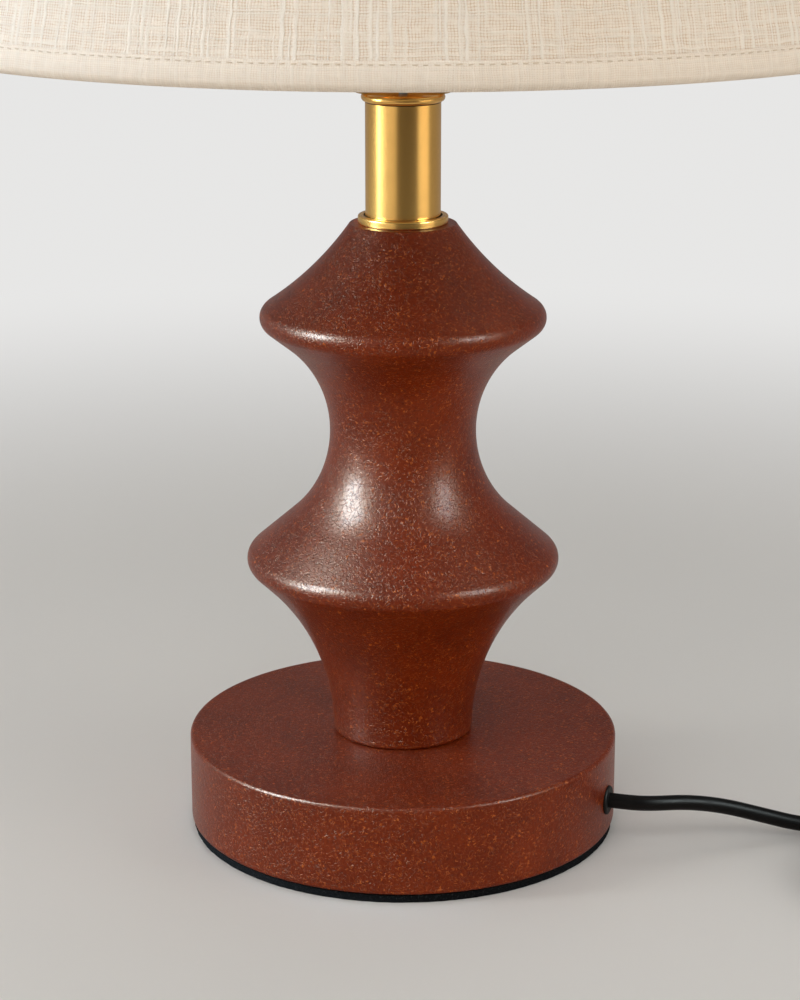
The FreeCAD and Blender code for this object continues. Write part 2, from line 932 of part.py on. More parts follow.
def hem(edge_z, up):
    """A turned hem that wraps the shade's edge and the wire in it; up is 1 or -1."""
    depth = hem_depth
    far = edge_z + up * hem_height
    turn = edge_z + up * depth / 2
    mid = cone(turn) - depth / 2
    outer = [at(cone(far), far), at(mid + depth / 2, turn)]
    inner = [at(mid - depth / 2, turn), at(cone(far) - depth, far)]
    lip_in = at(cone(far) - depth + hem_cloth, far)
    turn_in = at(mid - depth / 2 + hem_cloth, turn)
    turn_out = at(mid + depth / 2 - hem_cloth, turn)
    lip_out = at(cone(far) - hem_cloth, far)
    edges = [
        segment(*outer),
        arc(outer[1], at(mid, turn - up * depth / 2), inner[0]),
        segment(*inner),
        segment(inner[1], lip_in),
        segment(lip_in, turn_in),
        arc(turn_in, at(mid, turn - up * (depth / 2 - hem_cloth)), turn_out),
        segment(turn_out, lip_out),
        segment(lip_out, outer[0]),
    ]
    return turned_edges(edges)


linen_depth = hem_cloth + layer_gap
lining_depth = linen_depth + linen_thickness + layer_gap
wire_depth = lining_depth + lining_thickness + layer_gap
hem_depth = wire_depth + 2 * ring_wire + 2 * layer_gap + hem_cloth


def wire_ring(z):
    """The radius of a wire ring's middle line, just inside the lining."""
    return cone(z) - wire_depth - ring_wire - layer_gap


def make_shade():
    """The shade: linen on a white lining, hems, the lower wire and the fitter that carries it."""
    clear = hem_depth / 2
    low = shade_bottom + clear
    high = shade_top - clear
    parts["shade_linen"] = layer(
        linen_depth, linen_depth + linen_thickness, low, high
    )
    parts["shade_lining"] = layer(
        lining_depth, lining_depth + lining_thickness, low, high
    )
    parts["bottom_hem"] = hem(shade_bottom, 1)
    parts["top_hem"] = hem(shade_top, -1)
    low_wire = low + ring_wire
    parts["shade_bottom_ring"] = Part.makeTorus(
        wire_ring(low_wire), ring_wire, Vector(0, 0, low_wire), UP
    )
    high_wire = high - ring_wire
    fitter = Part.makeTorus(
        wire_ring(high_wire), ring_wire, Vector(0, 0, high_wire), UP
    )
    hub_hole = stud_thread_radius + running_gap
    hub = ring(hub_radius, hub_hole, hub_bottom, hub_top)
    arm_z = hub_bottom + arm_wire
    start = (hub_hole + hub_radius) / 2
    for k in range(arm_count):
        angle = math.pi / 2 + k * 2 * math.pi / arm_count
        way = Vector(math.cos(angle), math.sin(angle), 0)
        points = [
            way * start + UP * arm_z,
            way * (start + arm_flat_length) + UP * arm_z,
            way * wire_ring(high_wire) + UP * high_wire,
        ]
        arm = tube(bent_path(points, [arm_bend]), arm_wire)
        hub = hub.fuse(arm)
        slit = tube(bent_path(points, [arm_bend]), arm_wire + glue_gap)
        parts["top_hem"] = parts["top_hem"].cut(slit)
    passage = ring(hub_seat_radius, 0.0, hub_top, hub_top + 2 * arm_wire)
    parts["shade_spider"] = hub.cut(passage).fuse(fitter).removeSplitter()


def make_cord_entry():
    """The grommet in the base's side and the cord, stop collar and wires inside."""
    level = Vector(0, 0, cord_z)
    seat = level + exit_way * (base_radius - grommet_seat)
    flange = post(grommet_radius, seat, exit_way, grommet_flange)
    rim = [
        e
        for e in flange.Edges
        if isinstance(e.Curve, Part.Circle)
        and (e.Curve.Center - seat).dot(exit_way) > grommet_flange / 2
    ]
    flange = flange.makeFillet(grommet_round, rim)
    wall = base_radius - grommet_seat - hollow_radius
    neck = post(grommet_neck, seat - exit_way * wall, exit_way, wall + grommet_lap)
    bore = post(
        cord_radius + glue_gap, seat - exit_way * (wall + overcut), exit_way, 2 * wall
    )
    parts["cord_grommet"] = flange.fuse(neck).removeSplitter().cut(bore)
    inner_face = hollow_radius - stop_gap
    collar = level + exit_way * (inner_face - stop_length)
    sleeve = post(stop_radius, collar, exit_way, stop_length)
    before = collar - exit_way * overcut
    sleeve_bore = post(
        cord_radius + glue_gap, before, exit_way, stop_length + 2 * overcut
    )
    parts["cord_stop"] = sleeve.cut(sleeve_bore)
    inner_end = grommet_face - (base_radius - hollow_radius) - inner_cord_length
    parts["inner_cord"] = post(
        cord_radius,
        level + exit_way * inner_end,
        exit_way,
        grommet_face - inner_end,
    )
    sideways = Vector(-exit_way.y, exit_way.x, 0)
    spread = wire_radius + glue_gap
    terminal_z = insulator_bottom + insulator_height / 2
    low = rod_bottom - wire_drop
    for name, side in (("live_wire", 1), ("neutral_wire", -1)):
        start = level + exit_way * inner_end + sideways * (side * spread)
        under = sideways * (side * spread) + UP * low
        risen = sideways * (side * spread) + UP * (insulator_bottom - wire_bend)
        terminal = side * (insulator_flat + wire_radius + glue_gap)
        points = [
            start,
            start - exit_way * wire_lead,
            under + exit_way * wire_turn_in,
            under,
            risen,
            Vector(terminal, 0, risen.z + wire_radius),
            Vector(terminal, 0, terminal_z - terminal_head_radius - running_gap),
        ]
        bends = [wire_bend] * 3 + [wire_small_bend] * 2
        parts[name] = tube(bent_path(points, bends), wire_radius)


def coil_route():
    """The coil's half turns: inward below, up one layer, and out again on top."""
    centre = Vector(coil_centre[0], coil_centre[1], coil_low)
    halves_in = int(round(2 * coil_turns_in))
    step = coil_pitch / 2
    radius = coil_inner_radius + halves_in * step
    lead = 2 * cord_radius
    side = 1
    start = centre + Vector(0, radius, 0)
    edges = [segment(start - Vector(lead, 0, 0), start)]
    for _ in range(halves_in):
        end = centre - Vector(0, side * (radius - step), 0)
        width = (start - end).Length / 2
        middle = (start + end) * 0.5 + Vector(side * width, 0, 0)
        edges.append(arc(start, middle, end))
        start = end
        radius -= step
        side = -side
    radius -= coil_climb_in
    end = centre + Vector(0, -side * radius, coil_pitch)
    across = (end - start).Length / 2
    top = (start + end) * 0.5 + Vector(side * across, 0, 0)
    edges.append(smooth_arc(start, Vector(side, 0, 0), top))
    last = smooth_arc(end, Vector(side, 0, 0), top)
    middle = last.valueAt((last.FirstParameter + last.LastParameter) / 2)
    edges.append(arc(top, middle, end))
    start = end
    side = -side
    centre = centre + Vector(0, 0, coil_pitch)
    radius += coil_climb_in
    for _ in range(halves_in + 1):
        end = centre - Vector(0, side * (radius + step), 0)
        width = (start - end).Length / 2
        middle = (start + end) * 0.5 + Vector(side * width, 0, 0)
        edges.append(arc(start, middle, end))
        start = end
        radius += step
        side = -side
    edges.append(segment(start, start + Vector(lead, 0, 0)))
    return edges


def coil_samples(edges):
    """Points along the coil, a few millimetres apart, with their distance along it."""
    found = []
    run = 0.0
    for e in edges:
        count = max(2, int(e.Length / cord_radius))
        for k in range(count):
            share = k / count
            point = e.valueAt(
                e.FirstParameter + share * (e.LastParameter - e.FirstParameter)
            )
            found.append((run + share * e.Length, point))
        run += e.Length
    return found


def make_cord():
    """The free cord: its run to the coil, the coil, its tie, and the tail to the plug."""
    edges = coil_route()
    start = edges[0].valueAt(edges[0].FirstParameter)
    end = edges[-1].valueAt(edges[-1].LastParameter)
    leave = Vector(0, 0, cord_z) + exit_way * grommet_face
    straight = Vector(coil_run, 0, 0)
    run = [leave, leave + exit_way * exit_run] + [Vector(*p) for p in run_points]
    run += [start - straight, start]
    parts["cord_run"] = tube(cord_path(run, "cord_run"), cord_radius, "cord_run")
    parts["cord_coil"] = tube(edges, cord_radius, "cord_coil")
    tail = [end, end + straight] + [Vector(*p) for p in tail_points]
    parts["cord_tail"] = tube(cord_path(tail, "cord_tail"), cord_radius, "cord_tail")

    samples = coil_samples(edges)
    apart = 5 * cord_radius * 2
    least = min(
        (p - q).Length
        for i, (s, p) in enumerate(samples)
        for t, q in samples[i + 1 :]
        if t - s > apart
    )
    print("coil: least gap to itself %.2f mm" % (least - 2 * cord_radius))

    centre = Vector(coil_centre[0], coil_centre[1], 0)
    near = [
        (p - centre)
        for _, p in samples
        if p.x > centre.x and abs(p.y - centre.y) < tie_width
    ]
    room = cord_radius + 2 * glue_gap
    x0 = min(v.x for v in near) - room
    x1 = max(v.x for v in near) + room
    z0 = glue_gap + tie_thickness
    z1 = max(v.z for v in near) + room
    inside = Part.makeBox(
        x1 - x0, tie_width, z1 - z0, centre + Vector(x0, -tie_width / 2, z0)
    )
    across = [e for e in inside.Edges if abs(e.tangentAt(0).y) > 0.9]
    outside = Part.makeBox(
        x1 - x0 + 2 * tie_thickness,
        tie_width,
        z1 - z0 + 2 * tie_thickness,
        centre + Vector(x0 - tie_thickness, -tie_width / 2, z0 - tie_thickness),
    )
    outer_across = [e for e in outside.Edges if abs(e.tangentAt(0).y) > 0.9]
    parts["coil_tie"] = outside.makeFillet(
        tie_round + tie_thickness, outer_across
    ).cut(inside.makeFillet(tie_round, across))

    last, before = tail[-1], tail[-2]
    forward = last - before
    forward.z = 0
    return last, forward.normalize()


def make_plug(entry, forward):
    """The moulded plug, with its strain relief and two flat blades, lying on its side face."""
    relief = Part.makeCone(
        relief_end_radius, relief_start_radius, relief_length, ORIGIN, Vector(1, 0, 0)
    )
    front = relief_length + plug_length
    body = Part.makeBox(
        plug_length,
        plug_width,
        plug_height,
        Vector(relief_length, -plug_width / 2, -plug_height / 2),
    )
    back_corners = [
        e
        for e in body.Edges
        if abs(e.tangentAt(0).z) > 0.9 and e.CenterOfMass.x < relief_length + 1
    ]
    body = body.makeChamfer(plug_chamfer, back_corners)
    edges = [e for e in body.Edges if e.CenterOfMass.x < front - 0.1]
    body = body.makeFillet(plug_round, edges)
    blades = []
    for side in (-1, 1):
        blade = Part.makeBox(
            blade_length + blade_root,
            blade_thickness,
            blade_width,
            Vector(
                front - blade_root,
                side * blade_spacing / 2 - blade_thickness / 2,
                -blade_width / 2,
            ),
        )
        body = body.cut(blade)
        hole = post(
            blade_hole_radius,
            Vector(front + blade_hole_at, -plug_width, 0),
            Vector(0, 1, 0),
            2 * plug_width,
        )
        blades.append(blade.cut(hole))
    plug = body.fuse(relief).removeSplitter()
    heading = math.degrees(math.atan2(forward.y, forward.x))
    entry = Vector(entry.x, entry.y, plug_height / 2)
    for name, shape in (("plug_body", plug), ("plug_blades", Part.makeCompound(blades))):
        shape.rotate(ORIGIN, UP, heading)
        shape.translate(entry)
        parts[name] = shape


make_base()
make_column()
make_rod()
make_neck()
make_harp()
make_finial()
make_socket()
make_switch()
make_bulb()
make_shade()
make_cord_entry()
make_plug(*make_cord())

os.makedirs("parts", exist_ok=True)
for node, shape in parts.items():
    solids = shape.Solids
    if not solids or not shape.isValid():
        raise ValueError(node + " is not a valid solid")
    if len(solids) == 1:
        solids[0].exportStep("parts/" + node + ".step")
    else:
        Part.makeCompound(solids).exportStep("parts/" + node + ".step")
print(len(parts), "nodes")
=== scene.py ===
"""A table lamp: a turned column and round base of lacquered wood fibre, a satin brass neck, a linen
shade that turns on a harp, a switched socket with its bulb, and a mains cord with its plug."""

import json
import math
import random

import bmesh
import bpy
from bpy.props import FloatProperty, FloatVectorProperty, PointerProperty
from mathutils import Matrix, Vector, noise


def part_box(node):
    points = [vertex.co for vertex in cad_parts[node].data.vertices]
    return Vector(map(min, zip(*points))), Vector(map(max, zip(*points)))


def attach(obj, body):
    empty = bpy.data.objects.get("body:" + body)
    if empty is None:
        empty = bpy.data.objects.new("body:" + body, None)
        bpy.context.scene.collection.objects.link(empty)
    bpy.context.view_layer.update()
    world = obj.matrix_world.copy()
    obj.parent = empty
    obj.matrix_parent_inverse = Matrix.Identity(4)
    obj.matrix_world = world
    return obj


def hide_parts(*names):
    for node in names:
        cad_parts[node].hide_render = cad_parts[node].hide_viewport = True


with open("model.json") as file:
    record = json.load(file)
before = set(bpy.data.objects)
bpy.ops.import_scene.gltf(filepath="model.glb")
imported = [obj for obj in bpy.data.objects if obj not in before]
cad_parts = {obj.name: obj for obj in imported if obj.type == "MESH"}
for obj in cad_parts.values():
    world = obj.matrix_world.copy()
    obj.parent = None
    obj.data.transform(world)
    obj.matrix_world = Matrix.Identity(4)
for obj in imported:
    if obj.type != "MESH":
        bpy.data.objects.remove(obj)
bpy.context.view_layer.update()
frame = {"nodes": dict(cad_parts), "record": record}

bl_info = {
    "name": "Turned table lamp",
    "version": (1, 0, 0),
    "blender": (4, 5, 0),
    "location": "View3D > Sidebar > Lamp",
    "description": "Dresses a turned table lamp with wood fibre, brass, linen and cord",
    "category": "Object",
}

FULL_TURN = 2 * math.pi
FINE_STEPS = 96  # faces round a small turned piece
BODY_STEPS = 192  # faces round the column and the brass neck
CLOTH_STEPS = 256  # faces round the shade
WELD = 2e-6  # points closer than this, in metres, are one point
HOLDING = 0.7  # how far past a round a holding point stands, in rounds
PAD_CREASE = math.radians(40)
ROD_BORE = 0.0053  # radius of the hole for the threaded rod, in metres
SCREW_PITCH = 0.0036  # rise of the lamp thread in one turn, in metres
SCREW_POINTS = 8  # points of an outline in one turn of that thread
LACQUER_TINT = (1.0, 0.68, 0.44)  # colour of the gloss on lacquered fibre
PLASTIC_TINT = (1.0, 0.80, 0.64)  # colour of the gloss on rubber, plastic and paint
PALE_LIGHT = (1.0, 0.995, 0.985)  # colour of the pale surroundings
PALE_STRENGTH = 0.80  # their strength as the camera shows it, where 1 is white

# Route of the cord in metres: from the grommet to the coil, and from the coil to the plug
CORD_LEAVE = (
    (0.08614, -0.02966, 0.0188),
    (0.09465, -0.03259, 0.0188),
    (0.1044, -0.0326, 0.0185),
    (0.1185, -0.0278, 0.0172),
    (0.1340, -0.0246, 0.0142),
    (0.1500, -0.0234, 0.0096),
    (0.1670, -0.0238, 0.0053),
    (0.1840, -0.0239, 0.0043),
    (0.1972, -0.0237, 0.0041),
    (0.2106, -0.0237, 0.0041),
)
CORD_TAIL = (
    (0.2234, -0.02025, 0.0110),
    (0.2368, -0.02025, 0.0110),
    (0.2505, -0.0144, 0.0097),
    (0.2610, -0.0036, 0.0070),
    (0.2662, 0.0100, 0.0046),
    (0.2668, 0.0240, 0.0049),
    (0.2660, 0.0350, 0.0076),
    (0.2653, 0.0430, 0.0076),
)

# The coil in metres and in half turns: inward below, up one layer, and out again on top
COIL_CENTRE = (0.2170, -0.0710)
COIL_OUTER = 0.0473
COIL_PITCH = 0.0069
COIL_LOW = 0.0041
COIL_CLIMB_IN = 0.0034
COIL_HALVES_IN = 6
COIL_HALVES_OUT = 7
POINTS_PER_HALF = 8


# Settings


def size_setting(name, description, default):
    """A size in metres."""
    return FloatProperty(name=name, description=description, default=default, unit="LENGTH")


def colour_setting(name, description, default):
    """A colour."""
    return FloatVectorProperty(
        name=name, description=description, default=default, subtype="COLOR", min=0, max=1
    )


def brightness_setting(name, description, default):
    """A brightness, from nought upwards."""
    return FloatProperty(name=name, description=description, default=default, min=0)


class LampBodySettings(bpy.types.PropertyGroup):
    """Sizes and colours of the turned body and its base."""

    foot_round: size_setting("Foot round", "Radius of the round under the column's foot", 0.0018)
    foot_radius: size_setting(
        "Foot radius", "Radius of the column where it stands on the base", 0.0292
    )
    lower_lip_radius: size_setting("Lower lip radius", "Greatest radius of the lower lip", 0.0647)
    lower_lip_height: size_setting(
        "Lower lip height", "Height of the lower lip above the base", 0.0759
    )
    lower_flare: size_setting(
        "Lower flare", "Radius of the hollow curve under the lower lip", 0.0925
    )
    waist_radius: size_setting("Waist radius", "Radius of the column at its waist", 0.0300)
    waist_height: size_setting("Waist height", "Height of the waist above the base", 0.1305)
    waist_lower_curve: size_setting(
        "Curve below the waist", "Radius of the hollow curve below the waist", 0.0480
    )
    waist_upper_curve: size_setting(
        "Curve above the waist", "Radius of the hollow curve above the waist", 0.0460
    )
    upper_lip_radius: size_setting("Upper lip radius", "Greatest radius of the upper lip", 0.0582)
    upper_lip_height: size_setting(
        "Upper lip height", "Height of the upper lip above the base", 0.1777
    )
    lip_round: size_setting("Lip round", "Radius of the round along both lips", 0.0056)
    shoulder_curve: size_setting(
        "Shoulder curve", "Radius of the hollow slope above the upper lip", 0.1330
    )
    ledge_radius: size_setting("Ledge radius", "Radius of the flat ledge under the brass", 0.0215)
    edge_round: size_setting(
        "Base edge round", "Radius of the round along the base's edges", 0.0016
    )
    wood_colour: colour_setting(
        "Wood fibre colour", "Main colour under the lacquer", (0.216, 0.0225, 0.0011)
    )
    shade_colour: colour_setting(
        "Darker fibre colour", "Colour between the fibres", (0.128, 0.0110, 0.0006)
    )
    fleck_colour: colour_setting(
        "Fleck colour", "Colour of the short pale fibres", (0.60, 0.130, 0.016)
    )
    curl_size: size_setting("Fibre curl", "Size of the curls that the short fibres make", 0.0019)
    fibre_width: size_setting("Fibre width", "Width of one short fibre", 0.00014)
    felt_colour: colour_setting(
        "Felt colour", "Colour of the pad under the base", (0.004, 0.004, 0.004)
    )


class LampMetalSettings(bpy.types.PropertyGroup):
    """Colours and finish of the brass and steel."""

    brass_colour: colour_setting("Brass colour", "Colour of the satin brass", (0.84, 0.465, 0.125))
    brass_roughness: FloatProperty(
        name="Brass roughness", description="Roughness of the satin brass",
        default=0.27, min=0, max=1,
    )
    steel_colour: colour_setting(
        "Steel colour", "Colour of the zinc plated steel", (0.52, 0.53, 0.54)
    )


class LampShadeSettings(bpy.types.PropertyGroup):
    """Sizes and colours of the shade."""

    bottom_radius: size_setting(
        "Bottom radius", "Outer radius of the shade at its lower edge", 0.215
    )
    top_radius: size_setting("Top radius", "Outer radius of the shade at its upper edge", 0.150)
    cloth_depth: size_setting(
        "Cloth depth", "How deep the linen lies under the face of the hems", 0.0011
    )
    lining_depth: size_setting(
        "Lining depth", "How deep the lining lies under the face of the hems", 0.0021
    )
    hem_depth: size_setting("Hem depth", "Thickness of a hem round its wire", 0.0067)
    hem_height: size_setting("Hem height", "Height of the turned hem", 0.010)
    stitch_pitch: size_setting(
        "Stitch pitch", "Distance from stitch to stitch along the hem", 0.0035
    )
    stitch_length: size_setting("Stitch length", "Length of one stitch", 0.0019)
    thread_pitch: size_setting(
        "Thread pitch", "Distance from thread to thread in the linen", 0.00090
    )
    linen_colour: colour_setting("Linen colour", "Colour of the linen", (0.87, 0.74, 0.595))
    slub_colour: colour_setting(
        "Slub colour", "Colour of the thicker threads", (0.97, 0.865, 0.73)
    )
    gap_colour: colour_setting("Gap colour", "Colour between the threads", (0.70, 0.475, 0.285))


class LampCordSettings(bpy.types.PropertyGroup):
    """Sizes and colour of the mains cord and its plug."""

    diameter: size_setting("Cord diameter", "Outer diameter of the round cord", 0.0064)
    jacket_colour: colour_setting(
        "Jacket colour", "Colour of the cord's jacket and the plug", (0.0045, 0.0045, 0.005)
    )


class LampStageSettings(bpy.types.PropertyGroup):
    """The floor, lights and camera round the lamp."""

    floor_colour: colour_setting("Floor colour", "Colour of the pale floor", (0.76, 0.745, 0.72))
    sky_strength: brightness_setting(
        "Surrounding light", "Strength of the even light from all round", 0.40
    )
    key_strength: brightness_setting(
        "Key light", "Brightness of the narrow light at the left", 6.8
    )
    card_strength: brightness_setting(
        "Cards", "Brightness of the cards that only glossy surfaces show", 135.0
    )
    high_strength: brightness_setting(
        "High light", "Brightness of the wide light above the front", 1.4
    )
    front_strength: brightness_setting(
        "Front card", "Brightness of the wide card at the front left", 0.9
    )
    right_strength: brightness_setting(
        "Right light", "Brightness of the wide light at the right", 1.25
    )
    camera_lens: FloatProperty(
        name="Focal length", description="Focal length of the camera in millimetres",
        default=93.6, min=1,
    )
    camera_tilt: FloatProperty(
        name="Camera tilt", description="Angle by which the camera looks down",
        default=math.radians(16.5), subtype="ANGLE",
    )
    camera_place: FloatVectorProperty(
        name="Camera place", description="Where the camera stands",
        default=(-0.00123, -1.032, 0.446), subtype="TRANSLATION",
    )


# Outlines


def arc_points(centre, radius, start, end, count):
    """Points of an arc in an outline of (radius, height), from one angle to another."""
    return [
        Vector((
            centre[0] + radius * math.cos(start + (end - start) * k / count),
            centre[1] + radius * math.sin(start + (end - start) * k / count),
        ))
        for k in range(count + 1)
    ]


def softened(corners, segments=4):
    """A closed outline of (radius, height, round) corners, each rounded by an arc that has a
    holding point on either side."""
    points = []
    count = len(corners)
    for i, (radius, height, rounding) in enumerate(corners):
        here = Vector((radius, height))
        if rounding <= 0:
            points.append(here)
            continue
        before = Vector(corners[i - 1][:2]) - here
        after = Vector(corners[(i + 1) % count][:2]) - here
        come, go = before.normalized(), after.normalized()
        half = come.angle(go) / 2
        setback = rounding / math.tan(half)
        centre = here + (come + go).normalized() * (rounding / math.sin(half))
        start, end = here + come * setback, here + go * setback
        first = math.atan2(*(start - centre).yx)
        sweep = math.atan2(*(end - centre).yx) - first
        sweep = (sweep + math.pi) % FULL_TURN - math.pi
        hold = rounding * HOLDING
        if before.length > 2.2 * (setback + hold):
            points.append(start + come * hold)
        points += arc_points(centre, rounding, first, first + sweep, segments)
        if after.length > 2.2 * (setback + hold):
            points.append(end + go * hold)
    return points


def flare(neck, lip, hollow, rounding):
    """Points from an upright neck through a hollow curve and a straight run to a lip's edge. One
    that goes down is mirrored in height."""
    flip = 1 if lip.y > neck.y else -1
    centre = Vector((neck.x + hollow, 0))
    lip_centre = Vector((lip.x - rounding, (lip.y - neck.y) * flip))
    across = lip_centre - centre
    away = math.atan2(across.y, across.x) + math.acos((hollow + rounding) / across.length)
    points = arc_points(centre, hollow, math.pi, away, 22)
    points += arc_points(lip_centre, rounding, away - math.pi, 0, 9)
    return [Vector((p.x, neck.y + flip * p.y)) for p in points]


def shoulder(lip, rounding, curve, ledge):
    """Points from a lip's edge over its round and up a hollow slope to the ledge."""
    lip_centre = lip - Vector((rounding, 0))
    across = lip_centre - ledge
    reach = (curve**2 - (curve + rounding) ** 2 + across.length_squared) / (2 * across.length)
    side = math.sqrt(curve**2 - reach**2)
    unit = across.normalized()
    centre = ledge + unit * reach + Vector((-unit.y, unit.x)) * side
    meets = math.atan2(*(centre - lip_centre).yx)
    start = math.atan2(*(lip_centre - centre).yx) % FULL_TURN
    end = math.atan2(*(ledge - centre).yx) % FULL_TURN
    return arc_points(lip_centre, rounding, 0, meets, 9) + arc_points(
        centre, curve, start, end, 22
    )


def thread_points(radius, start, depth, turns):
    """Points of a rolled lamp thread, upwards from a height."""
    points = []
    for k in range(turns * SCREW_POINTS + 1):
        swell = (1 - math.cos(FULL_TURN * k / SCREW_POINTS)) / 2
        points.append((radius - depth * swell, start + SCREW_PITCH * k / SCREW_POINTS))
    return points


# Meshes


def made(bm, name, crease=math.radians(38)):
    """Weld a bmesh, turn its faces outwards and make a smooth shaded object of it."""
    bmesh.ops.remove_doubles(bm, verts=bm.verts, dist=WELD)
    bmesh.ops.recalc_face_normals(bm, faces=bm.faces)
    mesh = bpy.data.meshes.new(name)
    bm.to_mesh(mesh)
    bm.free()
    mesh.shade_smooth()
    mesh.set_sharp_from_angle(angle=crease)
    piece = bpy.data.objects.new(name, mesh)
    bpy.context.scene.collection.objects.link(piece)
    return piece


def spin_outline(bm, points, steps, closed):
    """Turn an outline of (radius, height) about Z into the bmesh."""
    ring = [bm.verts.new((p[0], 0, p[1])) for p in points]
    edges = [bm.edges.new(pair) for pair in zip(ring, ring[1:])]
    if closed:
        edges.append(bm.edges.new((ring[-1], ring[0])))
    bmesh.ops.spin(
        bm, geom=ring + edges, cent=(0, 0, 0), axis=(0, 0, 1), dvec=(0, 0, 0), angle=FULL_TURN,
        steps=steps, use_merge=True, use_normal_flip=False, use_duplicate=False,
    )


def spun(name, points, steps, closed=True):
    """A piece turned about the lamp's axis."""
    bm = bmesh.new()
    spin_outline(bm, points, steps, closed)
    return made(bm, name)


def merged_copy(node, name, bevel=0.0):
    """A smooth shaded copy of a part's own mesh, with its sharp edges eased by a bevel."""
    bm = bmesh.new()
    bm.from_mesh(frame["nodes"][node].data)
    bmesh.ops.remove_doubles(bm, verts=bm.verts, dist=WELD)
    bmesh.ops.dissolve_degenerate(bm, dist=WELD, edges=bm.edges)
    mesh = bpy.data.meshes.new(name)
    bm.to_mesh(mesh)
    bm.free()
    mesh.shade_smooth()
    mesh.set_sharp_from_angle(angle=math.radians(30))
    piece = bpy.data.objects.new(name, mesh)
    bpy.context.scene.collection.objects.link(piece)
    if bevel:
        ease = piece.modifiers.new("eased edges", "BEVEL")
        ease.width = bevel
        ease.segments = 2
        ease.limit_method = "ANGLE"
        ease.angle_limit = math.radians(40)
        ease.use_clamp_overlap = True
    return piece


def dress(piece, body, slot, look, *nodes):
    """Give a piece its finish and body, and let it stand for the part's nodes. The slot is not used.
    """
    piece.data.materials.clear()
    piece.data.materials.append(finish(look))
    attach(piece, body)
    if nodes:
        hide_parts(*nodes)
    return piece


def body_of(node):
    """The body that a node belongs to."""
    bodies = frame["record"]["behaviour"]["bodies"]
    return next(body for body, nodes in bodies.items() if node in nodes)


def dress_node(node, look):
    """Give a kept node its finish."""
    mesh = frame["nodes"][node].data
    mesh.materials.clear()
    mesh.materials.append(finish(look))


def dress_copy(node, look, slot, bevel=0.0):
    """Replace a node by a merged, eased copy of itself in its finish."""
    piece = merged_copy(node, node + "_finished", bevel)
    return dress(piece, body_of(node), slot, look, node)


# Node groups and materials


class Nodes:
    """A short way to add and link the nodes of one tree."""

    def __init__(self, tree):
        self.tree = tree
        self.made = 0

    def add(self, kind, inputs=None, **settings):
        """A new node with its settings, and links or plain values in its inputs."""
        node = self.tree.nodes.new(kind)
        self.made += 1
        node.location = (180 * (self.made % 8), -220 * (self.made // 8))
        for key, value in settings.items():
            setattr(node, key, value)
        for key, value in (inputs or {}).items():
            self.put(node.inputs[key], value)
        return node

    def put(self, socket, value):
        """Link a value's socket into this one, or set a plain value."""
        if isinstance(value, bpy.types.NodeSocket):
            self.tree.links.new(value, socket)
        elif socket.type == "RGBA" and len(value) == 3:
            socket.default_value = (*value, 1)
        else:
            socket.default_value = value

    def math(self, operation, *values):
        node = self.add("ShaderNodeMath", operation=operation)
        for socket, value in zip(node.inputs, values):
            self.put(socket, value)
        return node.outputs[0]

    def times(self, first, second):
        return self.math("MULTIPLY", first, second)

    def plus(self, first, second):
        return self.math("ADD", first, second)

    def greater(self, first, second):
        return self.math("MAXIMUM", first, second)

    def ramp(self, value, low, high, out_low=0.0, out_high=1.0, smooth=True):
        """A value's range mapped onto another one, and held there past its ends."""
        node = self.add(
            "ShaderNodeMapRange",
            {"Value": value, "From Min": low, "From Max": high, "To Min": out_low, "To Max": out_high},
            interpolation_type="SMOOTHSTEP" if smooth else "LINEAR", clamp=True,
        )
        return node.outputs["Result"]

    def mix(self, factor, first, second):
        node = self.add("ShaderNodeMix", data_type="RGBA", blend_type="MIX", clamp_factor=True)
        self.put(node.inputs["Factor"], factor)
        self.put(node.inputs["A"], first)
        self.put(node.inputs["B"], second)
        return node.outputs["Result"]

    def noise(self, vector, scale, detail=2.0, roughness=0.5, distortion=0.0, out="Fac"):
        node = self.add(
            "ShaderNodeTexNoise",
            {"Vector": vector, "Scale": scale, "Detail": detail, "Roughness": roughness,
             "Distortion": distortion},
        )
        return node.outputs[out]

    def random(self, number):
        """A random value from 0 to 1 for each number."""
        node = self.add("ShaderNodeTexWhiteNoise", {"W": number}, noise_dimensions="1D")
        return node.outputs["Value"]

    def cells(self, vector, scale):
        """The distance to each cell's middle, and the cell's own random colour."""
        cell = self.add("ShaderNodeTexVoronoi", {"Vector": vector, "Scale": scale}, feature="F1")
        draw = self.add("ShaderNodeSeparateColor", {"Color": cell.outputs["Color"]})
        return cell.outputs["Distance"], draw.outputs

    def group(self, name, inputs):
        """One of the shared groups with values of its own."""
        return self.add("ShaderNodeGroup", inputs, node_tree=shared(name)).outputs

    def mapping(self, vector, scale=(1, 1, 1), rotation=(0, 0, 0), place=(0, 0, 0)):
        node = self.add(
            "ShaderNodeMapping",
            {"Vector": vector, "Scale": scale, "Rotation": rotation, "Location": place},
        )
        return node.outputs["Vector"]

    def scaled(self, vector, amount):
        node = self.add("ShaderNodeVectorMath", operation="SCALE")
        self.put(node.inputs[0], vector)
        self.put(node.inputs["Scale"], amount)
        return node.outputs[0]

    def vectors(self, operation, first, second):
        node = self.add("ShaderNodeVectorMath", operation=operation)
        self.put(node.inputs[0], first)
        self.put(node.inputs[1], second)
        return node.outputs[0]


